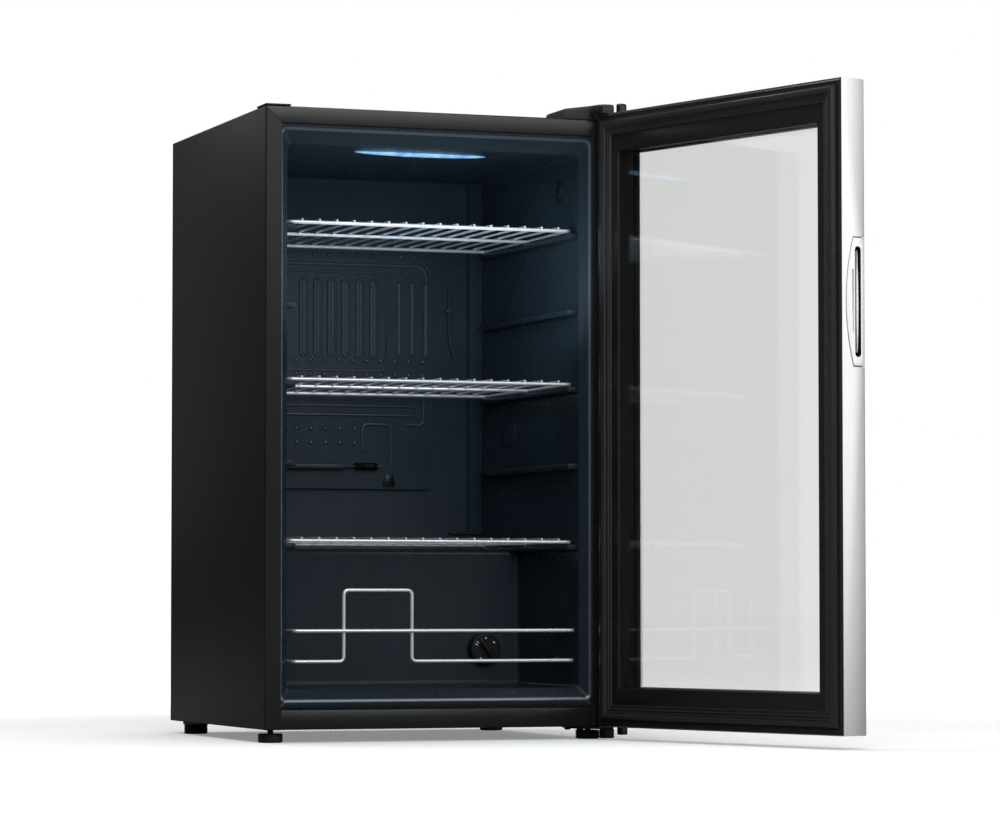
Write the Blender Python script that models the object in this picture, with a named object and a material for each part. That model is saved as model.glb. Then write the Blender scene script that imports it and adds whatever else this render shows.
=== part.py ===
"""Glass-door drinks fridge, built as an assembly of separate parts.

The design frame has the cabinet front at y = 0, its middle at x = 0 and the floor at z = 0,
with the door shut. The door then stands open about its hinge axis, and one empty moves the
whole assembly so that the middle of its footprint is the origin.
"""

import math

import bmesh
import bpy
from mathutils import Matrix, Vector

# ---------------------------------------------------------------- driving dimensions (metres)
CAB_W = 0.480
CAB_D = 0.460
CAB_BOTTOM = 0.017
CAB_TOP = 0.833
SHEET = 0.0012
FLANGE = 0.0225
GAP = 0.0003

OPEN_X = 0.205
FLOOR_Z = 0.069
CEILING_Z = 0.786
BACK_Y = 0.404
LIP_X = 0.2160
LIP_BOTTOM_Z = 0.0550
LIP_TOP_Z = 0.8040
FLARE_Y = (0.0045, 0.0175)
LINER_WALL = 0.0025
HUMP_Y = 0.248
HUMP_TOP = 0.2555

BAY_Y = 0.2835
BAY_TOP = 0.2215

HINGE = Vector((0.2325, -0.0148, 0.0))
DOOR_OPEN = math.radians(107.6)
DOOR_INNER_Y = -0.0060
DOOR_OUTER_Y = -0.0465
DOOR_BOTTOM = 0.0170
DOOR_TOP = 0.8386
SKIN_VIEW_X = 0.191
SKIN_VIEW_Z = (0.0705, 0.7845)
DOOR_GLASS_X = 0.196
DOOR_GLASS_Z = (0.0700, 0.7850)
PIN_R = 0.0035

SHELF_Z = (0.6840, 0.4765, 0.2640)
SHELF_NAMES = ("shelf_top", "shelf_middle", "shelf_bottom")
LEDGE_TOPS = (0.6812, 0.5780, 0.4737, 0.3700, 0.2612)
RIM_R = 0.0025
WIRE_R = 0.0015
WIRE_COUNT = 16
WIRE_PITCH = 0.0241
SHELF_X = 0.1985
SHELF_FRONT_Y = 0.030
SHELF_BACK_Y = 0.366

DIAL = Vector((0.151, 0.238, 0.1184))
DIAL_R = 0.023
SWITCH = Vector((0.2068, 0.0844, 0.7416))
SWITCH_TILT = math.radians(8)

FOOT_X = 0.2225
FOOT_FRONT_Y = 0.030
FOOT_BACK_Y = 0.400
FOOT_R = 0.0165

COMPRESSOR = Vector((0.055, 0.372, 0.0))
COIL_Y = 0.4688
COIL_R = 0.0024

COVER_TOP = 0.8525
COVER_FALL = 0.0060
COVER_X = (0.1785, 0.2393)

BAY_PANEL_Y = 0.4585
PAN_Z = 0.0172
RAIL_TOP = 0.0426
EVAPORATOR_HALF = 0.1285
EVAPORATOR_Z = (0.3440, 0.7000)
PIPE_Y = 0.3898
PIPE_Z = 0.3756
GUARD_Z = (0.1055, 0.1456, 0.1990)
CORD_EXIT = Vector((-0.1500, 0.4545, 0.0430))
POT_R = 0.0660
POT_Z = (0.0300, 0.1780)
CAP_Z = (0.0060, 0.8548)
HANDLE_Z = (0.4775, 0.6390)

HALF_W = CAB_W / 2


# ---------------------------------------------------------------- materials
def material(name, colour, roughness, metallic=0.0, transmission=0.0):
    mat = bpy.data.materials.new(name)
    mat.use_nodes = True
    shader = mat.node_tree.nodes["Principled BSDF"]
    shader.inputs["Base Color"].default_value = (*colour, 1.0)
    shader.inputs["Roughness"].default_value = roughness
    shader.inputs["Metallic"].default_value = metallic
    shader.inputs["Transmission Weight"].default_value = transmission
    mat.diffuse_color = (*colour, 1.0)
    return mat


def own(base, name):
    """A copy of a finish, so that each part has its own material."""
    mat = base.copy()
    mat.name = name
    return mat


# ---------------------------------------------------------------- scene helpers
def clear_scene():
    for obj in list(bpy.data.objects):
        bpy.data.objects.remove(obj, do_unlink=True)


def empty(name, parent=None, location=(0, 0, 0), turn=0.0):
    obj = bpy.data.objects.new(name, None)
    obj.location = location
    obj.rotation_euler = (0, 0, turn)
    obj.parent = parent
    bpy.context.scene.collection.objects.link(obj)
    return obj


class Frame:
    """An empty and the point of the design frame that it stands on."""

    def __init__(self, holder, point):
        self.holder = holder
        self.point = Vector(point)


def add(name, bm, base, frame, origin=None, smooth=False, helper=False):
    """Makes a bmesh in design coordinates into an object that hangs from a frame's empty."""
    origin = Vector(origin) if origin is not None else frame.point.copy()
    bmesh.ops.remove_doubles(bm, verts=bm.verts, dist=1e-6)
    bmesh.ops.recalc_face_normals(bm, faces=bm.faces)
    bmesh.ops.translate(bm, verts=bm.verts, vec=-origin)
    mesh = bpy.data.meshes.new(name)
    bm.to_mesh(mesh)
    bm.free()
    obj = bpy.data.objects.new(name, mesh)
    obj.parent = frame.holder
    obj.location = origin - frame.point
    bpy.context.scene.collection.objects.link(obj)
    if helper:
        obj.hide_render = True
        obj.display_type = "WIRE"
    else:
        mesh.materials.append(own(base, name))
    if smooth:
        mesh.shade_smooth()
        mesh.set_sharp_from_angle(angle=math.radians(35))
    return obj


def boolean(obj, other, operation):
    modifier = obj.modifiers.new(other.name, "BOOLEAN")
    modifier.object = other
    modifier.operation = operation
    modifier.solver = "EXACT"
    return obj


def cut(obj, *others):
    for other in others:
        boolean(obj, other, "DIFFERENCE")
    return obj


def join(obj, *others):
    for other in others:
        boolean(obj, other, "UNION")
    return obj


# ---------------------------------------------------------------- shape helpers
def add_box(bm, low, high):
    low = Vector(low)
    high = Vector(high)
    placed = Matrix.Translation((low + high) / 2) @ Matrix.Diagonal((*(high - low), 1.0))
    return bmesh.ops.create_cube(bm, size=1.0, matrix=placed)["verts"]


def box(low, high):
    bm = bmesh.new()
    add_box(bm, low, high)
    return bm


def rounded_box(low, high, radius, segments=2):
    bm = box(low, high)
    bmesh.ops.bevel(
        bm, geom=bm.edges[:], offset=radius, segments=segments, profile=0.5, affect="EDGES"
    )
    return bm


def prism(outline, axis, start, end):
    """An outline in the plane across an axis, extruded from start to end along it."""
    bm = bmesh.new()
    order = {"X": (2, 0, 1), "Y": (0, 2, 1), "Z": (0, 1, 2)}[axis]
    verts = []
    for a, b in outline:
        values = (a, b, start)
        verts.append(bm.verts.new([values[i] for i in order]))
    face = bm.faces.new(verts)
    grown = bmesh.ops.extrude_face_region(bm, geom=[face])
    move = Vector([(0.0, 0.0, end - start)[i] for i in order])
    moved = [item for item in grown["geom"] if isinstance(item, bmesh.types.BMVert)]
    bmesh.ops.translate(bm, verts=moved, vec=move)
    return bm


def add_cylinder(bm, centre, radius, length, axis, sides=16, radius_end=None):
    turn = {
        "X": Matrix.Rotation(math.radians(90), 4, "Y"),
        "Y": Matrix.Rotation(math.radians(-90), 4, "X"),
        "Z": Matrix.Identity(4),
    }[axis]
    bmesh.ops.create_cone(
        bm,
        cap_ends=True,
        segments=sides,
        radius1=radius,
        radius2=radius if radius_end is None else radius_end,
        depth=length,
        matrix=Matrix.Translation(centre) @ turn,
    )


def cylinder(centre, radius, length, axis, sides=16, radius_end=None):
    bm = bmesh.new()
    add_cylinder(bm, centre, radius, length, axis, sides, radius_end)
    return bm


def turned(profile, centre, sides=20):
    """A profile of (radius, height) points, spun about an upright axis through centre."""
    bm = bmesh.new()
    centre = Vector(centre)
    verts = [bm.verts.new(centre + Vector((r, 0.0, z))) for r, z in profile]
    edges = [bm.edges.new(pair) for pair in zip(verts, verts[1:])]
    bmesh.ops.spin(
        bm,
        geom=verts + edges,
        cent=centre,
        axis=(0, 0, 1),
        angle=math.tau,
        steps=sides,
        use_merge=True,
        use_duplicate=False,
    )
    return bm


def tube(points, radius, cyclic=False, detail=1):
    """A round wire or pipe along a path, made by a curve with a bevel and filled ends."""
    curve = bpy.data.curves.new("path", "CURVE")
    curve.dimensions = "3D"
    curve.bevel_depth = radius
    curve.bevel_resolution = detail
    curve.use_fill_caps = not cyclic
    spline = curve.splines.new("POLY")
    spline.points.add(len(points) - 1)
    for slot, point in zip(spline.points, points):
        slot.co = (*point, 1.0)
    spline.use_cyclic_u = cyclic
    holder = bpy.data.objects.new("path", curve)
    mesh = bpy.data.meshes.new_from_object(holder)
    bm = bmesh.new()
    bm.from_mesh(mesh)
    bpy.data.objects.remove(holder)
    bpy.data.meshes.remove(mesh)
    return bm


def fillet(points, radius, steps=3, closed=False):
    """The same path with each corner rounded by a short arc."""
    points = [Vector(p) for p in points]
    smooth = []
    count = len(points)
    for i, here in enumerate(points):
        if not closed and i in (0, count - 1):
            smooth.append(here)
            continue
        before = (points[i - 1] - here).normalized()
        after = (points[(i + 1) % count] - here).normalized()
        for k in range(steps + 1):
            t = k / steps
            start = here + before * radius
            end = here + after * radius
            smooth.append((1 - t) ** 2 * start + 2 * t * (1 - t) * here + t**2 * end)
    return smooth


def mirrored(value):
    return (-value, value)


# ---------------------------------------------------------------- cabinet
def make_shell(cab, black):
    body = rounded_box(
        (-HALF_W, 0, CAB_BOTTOM), (HALF_W, CAB_D, CAB_TOP), radius=0.0018, segments=1
    )
    shell = add("outer_shell", body, black, cab)
    room = box(
        (-HALF_W + SHEET, SHEET, CAB_BOTTOM - 0.02),
        (HALF_W - SHEET, CAB_D + 0.02, CAB_TOP - SHEET),
    )
    mouth = box(
        (-HALF_W + FLANGE, -0.02, CAB_BOTTOM - 0.02),
        (HALF_W - FLANGE, 0.02, CAB_TOP - FLANGE),
    )
    cut(
        shell,
        add("shell_room", room, None, cab, helper=True),
        add("shell_mouth", mouth, None, cab, helper=True),
    )


def make_front_rail(cab, black):
    top = RAIL_TOP
    bottom = CAB_BOTTOM + 0.0002
    outline = [
        (0, bottom),
        (0, top),
        (0.0030, top),
        (0.0030, top - SHEET),
        (SHEET, top - SHEET),
        (SHEET, bottom + SHEET),
        (0.020, bottom + SHEET),
        (0.020, bottom),
    ]
    reach = HALF_W - FLANGE - GAP
    add("front_rail", prism(outline, "X", -reach, reach), black, cab)


def make_base_pan(cab, steel):
    reach = HALF_W - SHEET - GAP
    pan = add(
        "base_pan",
        box((-reach, 0.0205, PAN_Z), (reach, BAY_Y - 0.001, PAN_Z + SHEET)),
        steel,
        cab,
    )
    holes = bmesh.new()
    for x in mirrored(FOOT_X):
        add_cylinder(holes, (x, FOOT_FRONT_Y, 0.018), 0.0046, 0.02, "Z", 12)
    cut(pan, add("base_holes", holes, None, cab, helper=True))


def make_back_panel(cab, steel):
    reach = HALF_W - SHEET - GAP
    add(
        "back_panel",
        box(
            (-reach, BAY_PANEL_Y - 0.001, BAY_TOP + 0.001),
            (reach, BAY_PANEL_Y, CAB_TOP - SHEET - GAP),
        ),
        steel,
        cab,
    )


def make_bay_divider(cab, steel):
    reach = HALF_W - SHEET - GAP
    outline = [
        (BAY_Y, 0.0190),
        (BAY_Y, BAY_TOP),
        (BAY_PANEL_Y, BAY_TOP),
        (BAY_PANEL_Y, BAY_TOP - 0.001),
        (BAY_Y + 0.001, BAY_TOP - 0.001),
        (BAY_Y + 0.001, 0.0190),
    ]
    add("bay_divider", prism(outline, "X", -reach, reach), steel, cab)


def ring_solid(sections):
    """A solid through rectangles (y, half width, bottom, top), joined one to the next."""
    bm = bmesh.new()
    loops = []
    for y, half, low, high in sections:
        corners = ((-half, low), (half, low), (half, high), (-half, high))
        loops.append([bm.verts.new((x, y, z)) for x, z in corners])
    bm.faces.new(loops[0])
    bm.faces.new(loops[-1])
    for first, second in zip(loops, loops[1:]):
        edges = []
        for loop in (first, second):
            for i in range(4):
                found = bm.edges.get((loop[i], loop[i - 1]))
                edges.append(found or bm.edges.new((loop[i], loop[i - 1])))
        bmesh.ops.bridge_loops(bm, edges=edges)
    return bm


def liner_profile(grow):
    """The side outline of the food space, grown outwards by a wall."""
    front = FLARE_Y[1] - 0.002
    return [
        (front, FLOOR_Z - grow),
        (HUMP_Y + grow, FLOOR_Z - grow),
        (HUMP_Y + grow, HUMP_TOP - grow),
        (BACK_Y + grow, HUMP_TOP - grow),
        (BACK_Y + grow, CEILING_Z + grow),
        (front, CEILING_Z + grow),
    ]


def flare_solid(front_y, grow, back_y):
    return ring_solid(
        [
            (front_y, LIP_X + grow, LIP_BOTTOM_Z - grow, LIP_TOP_Z + grow),
            (FLARE_Y[0], LIP_X + grow, LIP_BOTTOM_Z - grow, LIP_TOP_Z + grow),
            (FLARE_Y[1], OPEN_X + grow, FLOOR_Z - grow, CEILING_Z + grow),
            (back_y, OPEN_X + grow, FLOOR_Z - grow, CEILING_Z + grow),
        ]
    )


def make_liner(cab, plastic):
    wall = LINER_WALL
    outer = prism(liner_profile(wall), "X", -OPEN_X - wall, OPEN_X + wall)
    liner = add("inner_liner", outer, plastic, cab, smooth=True)
    lip = add(
        "liner_lip", flare_solid(0.0029, wall, FLARE_Y[1] + 0.004), None, cab, helper=True
    )
    rim = add(
        "liner_rim", box((-0.2260, 0.0015, 0.0431), (0.2260, 0.0032, 0.8190)), None, cab, helper=True
    )
    join(liner, lip, rim)
    space = add(
        "liner_space", prism(liner_profile(0.0), "X", -OPEN_X, OPEN_X), None, cab, helper=True
    )
    mouth = add(
        "liner_mouth", flare_solid(-0.01, 0.0, FLARE_Y[1] + 0.001), None, cab, helper=True
    )
    cut(liner, space, mouth)
    ledges = bmesh.new()
    for top in LEDGE_TOPS:
        for side in (-1, 1):
            span = sorted((side * 0.1900, side * (OPEN_X + 0.001)))
            add_box(ledges, (span[0], 0.0205, top - 0.008), (span[1], 0.3700, top))
    join(liner, add("liner_ledges", ledges, None, cab, helper=True))
    ports = bmesh.new()
    add_box(ports, (-0.0900, 0.0700, 0.780), (0.0900, 0.0840, 0.800))
    add_cylinder(ports, (DIAL.x, HUMP_Y, DIAL.z), 0.0036, 0.02, "Y", 12)
    add_box(
        ports,
        (OPEN_X - 0.01, SWITCH.y - 0.0062, SWITCH.z - 0.0100),
        (OPEN_X + 0.01, SWITCH.y + 0.0062, SWITCH.z + 0.0100),
    )
    cut(liner, add("liner_ports", ports, None, cab, helper=True))


def make_foam(cab, foam):
    reach = HALF_W - SHEET - GAP
    block = box((-reach, 0.0065, 0.0190), (reach, 0.4572, CAB_TOP - SHEET - GAP))
    filling = add("foam_insulation", block, foam, cab)
    wall = LINER_WALL + GAP
    space = add(
        "foam_space",
        prism(liner_profile(wall), "X", -OPEN_X - wall, OPEN_X + wall),
        None,
        cab,
        helper=True,
    )
    mouth = add(
        "foam_mouth", flare_solid(-0.01, wall, FLARE_Y[1] + 0.004), None, cab, helper=True
    )
    bay = add(
        "foam_bay",
        box((-0.3, BAY_Y - GAP, -0.02), (0.3, 0.50, BAY_TOP + GAP)),
        None,
        cab,
        helper=True,
    )
    sill = add(
        "foam_sill", box((-0.3, -0.01, 0.0), (0.3, 0.0208, 0.0432)), None, cab, helper=True
    )
    cut(filling, space, mouth, bay, sill)
    pockets = bmesh.new()
    add_box(pockets, (-0.0935, 0.0665, 0.785), (0.0935, 0.0875, 0.7990))
    add_box(
        pockets,
        (DIAL.x - 0.024, HUMP_Y, DIAL.z - 0.022),
        (DIAL.x + 0.024, HUMP_Y + 0.0275, DIAL.z + 0.022),
    )
    add_box(
        pockets,
        (OPEN_X, SWITCH.y - 0.0085, SWITCH.z - 0.0125),
        (OPEN_X + 0.010, SWITCH.y + 0.0085, SWITCH.z + 0.0125),
    )
    for x in mirrored(FOOT_X):
        add_cylinder(pockets, (x, FOOT_FRONT_Y, 0.016), 0.0060, 0.02, "Z", 12)
    cut(filling, add("foam_pockets", pockets, None, cab, helper=True))


# ---------------------------------------------------------------- cooling parts in the food space
def make_evaporator(cab, black, copper, steel):
    half = EVAPORATOR_HALF
    low, high = EVAPORATOR_Z
    body = box((-half, 0.3965, low), (half, 0.3981, high))
    corners = [e for e in body.edges if abs(e.verts[0].co.y - e.verts[1].co.y) > 0.001]
    bmesh.ops.bevel(body, geom=corners, offset=0.010, segments=3, profile=0.5, affect="EDGES")
    add("evaporator_plate", body, black, cab)
    clip = [(0.0535, 0.3480), (0.0715, 0.3480), (0.0680, 0.3640), (0.0570, 0.3640)]
    add("evaporator_clip", prism(clip, "Y", 0.3925, 0.3960), steel, cab)
    z = PIPE_Z
    y = PIPE_Y
    pipe = [(-0.1200, y, z), (-0.0050, y, z)]
    fat = add("suction_tube", tube(pipe, 0.0050, detail=2), copper, cab, smooth=True)
    thin = tube([(-0.0100, y, z), (0.0500, y, z)], 0.0020)
    join(fat, add("suction_thin_end", thin, None, cab, helper=True))
    turns = 8
    steps = 10
    length = 0.0330
    ring = 0.0042
    coil = []
    for i in range(turns * steps + 1):
        angle = math.tau * i / steps
        along = 0.0100 + length * i / (turns * steps)
        coil.append((along, y + ring * math.cos(angle), z + ring * math.sin(angle)))
    add("capillary_coil", tube(coil, 0.0013, detail=0), copper, cab, smooth=True)


def make_wall_fittings(cab, plastic, steel, lens, white):
    duct = [
        (0.1820, BACK_Y - GAP),
        (0.1870, 0.3960),
        (OPEN_X - GAP, 0.3960),
        (OPEN_X - GAP, BACK_Y - GAP),
    ]
    cover = add("corner_duct_cover", prism(duct, "Z", 0.2800, CEILING_Z - GAP), plastic, cab)
    foot = box((0.1560, 0.3970, 0.2800), (0.1850, BACK_Y - GAP, 0.2840))
    join(cover, add("duct_foot", foot, None, cab, helper=True))
    path = fillet(
        [(0.1550, 0.3995, 0.6340), (0.1550, 0.3995, 0.5600), (0.1630, 0.3995, 0.5310)], 0.008
    )
    add("sensor_bulb", tube(path, 0.0022, detail=1), steel, cab, smooth=True)
    add(
        "wall_blank_plate",
        box((OPEN_X - 0.0020, 0.2570, 0.4030), (OPEN_X - GAP, 0.3140, 0.4320)),
        plastic,
        cab,
    )
    lamp = [(-0.0105, 0.0), (-0.0085, -0.0030), (0.0, -0.0042), (0.0085, -0.0030), (0.0105, 0.0)]
    outline = [(0.0770 + a, CEILING_Z - GAP + b) for a, b in lamp]
    add("led_lens", prism(outline, "X", -0.0940, 0.0940), lens, cab, smooth=True)
    add("led_board", box((-0.0880, 0.0715, 0.7890), (0.0880, 0.0825, 0.7906)), white, cab)


def make_light_switch(cab, plastic, rocker_finish):
    x = OPEN_X
    bezel = add(
        "light_switch_bezel",
        box(
            (x - 0.0022, SWITCH.y - 0.0100, SWITCH.z - 0.0145),
            (x - GAP, SWITCH.y + 0.0100, SWITCH.z + 0.0145),
        ),
        plastic,
        cab,
    )
    hole = box(
        (x - 0.01, SWITCH.y - 0.0062, SWITCH.z - 0.0100),
        (x + 0.01, SWITCH.y + 0.0062, SWITCH.z + 0.0100),
    )
    cut(bezel, add("switch_hole", hole, None, cab, helper=True))
    outline = [
        (SWITCH.x + 0.0030, -0.0050),
        (SWITCH.x + 0.0030, 0.0050),
        (SWITCH.x - 0.0042, 0.0090),
        (SWITCH.x - 0.0058, 0.0084),
        (SWITCH.x - 0.0052, 0.0),
        (SWITCH.x - 0.0058, -0.0084),
        (SWITCH.x - 0.0042, -0.0090),
    ]
    placed = [(a, SWITCH.z + b) for a, b in outline]
    rocker = add(
        "light_switch_rocker",
        prism(placed, "Y", SWITCH.y - 0.0056, SWITCH.y + 0.0056),
        rocker_finish,
        cab,
        origin=SWITCH,
    )
    rocker.rotation_euler = (0, SWITCH_TILT, 0)


def make_thermostat(cab, plastic, steel):
    add(
        "thermostat_body",
        box(
            (DIAL.x - 0.0210, HUMP_Y + 0.0085, DIAL.z - 0.0190),
            (DIAL.x + 0.0210, HUMP_Y + 0.0265, DIAL.z + 0.0190),
        ),
        steel,
        cab,
    )
    disc = cylinder(
        (DIAL.x, HUMP_Y - 0.0080, DIAL.z), DIAL_R - 0.0020, 0.0140, "Y", 32, DIAL_R
    )
    dial = add("thermostat_dial", disc, plastic, cab, origin=DIAL, smooth=True)
    grip = box((-0.0195, -0.0245, -0.0035), (0.0195, -0.0100, 0.0035))
    bmesh.ops.rotate(
        grip,
        verts=grip.verts,
        cent=(0, 0, 0),
        matrix=Matrix.Rotation(math.radians(53), 3, "Y"),
    )
    bmesh.ops.translate(grip, verts=grip.verts, vec=(DIAL.x, HUMP_Y, DIAL.z))
    shaft = cylinder((DIAL.x, HUMP_Y + 0.0015, DIAL.z), 0.0030, 0.0120, "Y", 12)
    join(
        dial,
        add("dial_grip", grip, None, cab, helper=True),
        add("dial_shaft", shaft, None, cab, helper=True),
    )


# ---------------------------------------------------------------- shelves and bottle guard
def make_shelf(name, z, frame, wire):
    corners = [
        (-SHELF_X, SHELF_FRONT_Y, z),
        (SHELF_X, SHELF_FRONT_Y, z),
        (SHELF_X, SHELF_BACK_Y, z),
        (-SHELF_X, SHELF_BACK_Y, z),
    ]
    rim = add(
        name,
        tube(fillet(corners, 0.008, closed=True), RIM_R, cyclic=True),
        wire,
        frame,
        smooth=True,
    )
    middle = (SHELF_FRONT_Y + SHELF_BACK_Y) / 2
    cross = tube([(-SHELF_X, middle, z), (SHELF_X, middle, z)], RIM_R * 0.9, detail=0)
    bars = bmesh.new()
    side = WIRE_R * 0.85
    height = z + RIM_R + WIRE_R - 0.0008
    for i in range(WIRE_COUNT):
        x = (i - (WIRE_COUNT - 1) / 2) * WIRE_PITCH
        add_box(
            bars,
            (x - side, SHELF_FRONT_Y - 0.001, height - side),
            (x + side, SHELF_BACK_Y + 0.001, height + side),
        )
    join(
        rim,
        add(name + "_cross", cross, None, frame, helper=True),
        add(name + "_bars", bars, None, frame, helper=True),
    )


def make_bottle_guard(cab, wire):
    front = 0.0120
    side = 0.1960
    back = 0.0900
    wall = OPEN_X - GAP - 0.0002
    radius = 0.0024
    lower_z, upper_z, raised_z = GUARD_Z
    upper = [
        (-wall, back, upper_z),
        (-side, back, upper_z),
        (-side, front, upper_z),
        (side, front, upper_z),
        (side, back, upper_z),
        (wall, back, upper_z),
    ]
    lower = [
        (-wall, back, lower_z),
        (-side, back, lower_z),
        (-side, front + 0.0030, lower_z),
        (-0.1270, front + 0.0030, lower_z),
        (-0.1270, front + 0.0030, raised_z),
        (-0.0325, front + 0.0030, raised_z),
        (-0.0325, front + 0.0030, lower_z),
        (side, front + 0.0030, lower_z),
        (side, back, lower_z),
        (wall, back, lower_z),
    ]
    top_wire = add("bottle_guard", tube(fillet(upper, 0.0070), radius), wire, cab, smooth=True)
    low_wire = add("guard_lower", tube(fillet(lower, 0.0070), radius), None, cab, helper=True)
    join(top_wire, low_wire)


# ---------------------------------------------------------------- hinges and corner trim
def make_top_hinge(cab, steel, plastic):
    bracket = add(
        "top_hinge_bracket",
        box((0.1815, 0.0040, CAB_TOP + GAP), (0.2368, 0.0640, CAB_TOP + 0.0028)),
        steel,
        cab,
    )
    low = CAB_TOP + GAP
    arm_z = 0.8415
    crank = [
        (0.0040, low),
        (0.0065, low),
        (0.0065, arm_z + 0.0025),
        (-0.0240, arm_z + 0.0025),
        (-0.0240, arm_z),
        (0.0040, arm_z),
    ]
    arm = add("hinge_arm", prism(crank, "X", 0.2225, 0.2368), None, cab, helper=True)
    join(bracket, arm)
    add(
        "top_hinge_pin",
        cylinder((HINGE.x, HINGE.y, 0.8296), PIN_R, 0.0232, "Z", 16),
        steel,
        cab,
        smooth=True,
    )
    outline = [
        (COVER_X[0], 0.0700),
        (COVER_X[0], 0.0008),
        (0.2150, 0.0008),
        (0.2190, -0.0240),
        (0.2230, -0.0270),
        (COVER_X[1], -0.0270),
        (COVER_X[1], 0.0700),
    ]
    shell = prism(outline, "Z", CAB_TOP + GAP, COVER_TOP)
    for vert in shell.verts:
        if vert.co.z > COVER_TOP - 0.001:
            run = (COVER_X[1] - vert.co.x) / (COVER_X[1] - COVER_X[0])
            vert.co.z -= COVER_FALL * run
    crown = [e for e in shell.edges if all(v.co.z > CAB_TOP + 0.005 for v in e.verts)]
    bmesh.ops.bevel(shell, geom=crown, offset=0.0022, segments=2, profile=0.5, affect="EDGES")
    cover = add("top_hinge_cover", shell, plastic, cab, smooth=True)
    room = box((0.1805, 0.0028, 0.82), (0.2375, 0.0680, COVER_TOP - COVER_FALL - 0.0020))
    nose = box((0.2210, -0.0242, 0.82), (0.2376, 0.0690, COVER_TOP - 0.0060))
    step = box((0.1700, -0.0400, 0.82), (0.2500, 0.0004, DOOR_TOP + 0.0006))
    cut(
        cover,
        add("cover_room", room, None, cab, helper=True),
        add("cover_nose", nose, None, cab, helper=True),
        add("cover_step", step, None, cab, helper=True),
    )
    for i, x in enumerate((0.1920, 0.2130)):
        make_screw(f"top_hinge_screw_{i + 1}", (x, 0.0400, CAB_TOP + 0.0031), 1, cab, steel)


def make_screw(name, seat, way, cab, steel):
    """A pan-head screw whose head rests on its seat; way is 1 with the head up, -1 with it down."""
    head = 0.0024
    profile = [(0.0, 0.0), (0.0045, 0.0), (0.0045, head * 0.6), (0.0030, head), (0.0, head)]
    placed = [(r, way * z) for r, z in profile]
    add(name, turned(placed, seat, 12), steel, cab, smooth=True)


def make_bottom_hinge(cab, steel):
    top = CAB_BOTTOM - GAP
    low = top - 0.0025
    outline = [
        (0.1960, 0.0580),
        (0.1960, -0.0010),
        (0.2180, -0.0245),
        (0.2385, -0.0245),
        (0.2385, 0.0580),
    ]
    bracket = add("bottom_hinge_bracket", prism(outline, "Z", low, top), steel, cab)
    holes = bmesh.new()
    add_cylinder(holes, (HINGE.x, HINGE.y, 0.016), PIN_R + GAP, 0.02, "Z", 16)
    add_cylinder(holes, (FOOT_X, FOOT_FRONT_Y, 0.016), 0.0050, 0.02, "Z", 12)
    cut(bracket, add("bottom_hinge_holes", holes, None, cab, helper=True))
    profile = [
        (0.0, 0.0020),
        (0.0090, 0.0020),
        (0.0098, 0.0035),
        (0.0098, low - GAP),
        (PIN_R, low - GAP),
        (PIN_R, 0.0350),
        (0.0, 0.0350),
    ]
    add("bottom_hinge_pin", turned(profile, HINGE, 16), steel, cab, smooth=True)
    for i, y in enumerate((0.0060, 0.0520)):
        make_screw(f"bottom_hinge_screw_{i + 1}", (0.2020, y, low - GAP), -1, cab, steel)


def make_corner_cap(cab, plastic):
    outline = [
        (-0.2398, 0.0002),
        (-0.2050, 0.0002),
        (-0.2080, 0.0380),
        (-0.2120, 0.0420),
        (-0.2398, 0.0430),
    ]
    body = prism(outline, "Z", CAB_TOP + GAP, CAB_TOP + 0.0026)
    add("corner_cap_left", body, plastic, cab)


# ---------------------------------------------------------------- feet
def make_feet(cab, rubber):
    stud = 0.0040
    for side, x in (("left", -FOOT_X), ("right", FOOT_X)):
        profile = [
            (0.0, 0.0),
            (FOOT_R - 0.0020, 0.0),
            (FOOT_R, 0.0020),
            (FOOT_R, 0.0100),
            (FOOT_R - 0.0030, 0.0120),
            (stud, 0.0120),
            (stud, 0.0205),
            (0.0, 0.0205),
        ]
        place = Vector((x, FOOT_FRONT_Y, 0.0))
        body = turned(profile, place, 20)
        add(f"foot_front_{side}", body, rubber, cab, origin=place, smooth=True)
        profile = [
            (0.0, 0.0),
            (FOOT_R - 0.0020, 0.0),
            (FOOT_R, 0.0020),
            (FOOT_R, 0.0130),
            (FOOT_R + 0.0015, CAB_BOTTOM - GAP),
            (0.0, CAB_BOTTOM - GAP),
        ]
        body = turned(profile, (x * 0.985, FOOT_BACK_Y, 0.0), 20)
        add(f"foot_back_{side}", body, rubber, cab, smooth=True)


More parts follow.
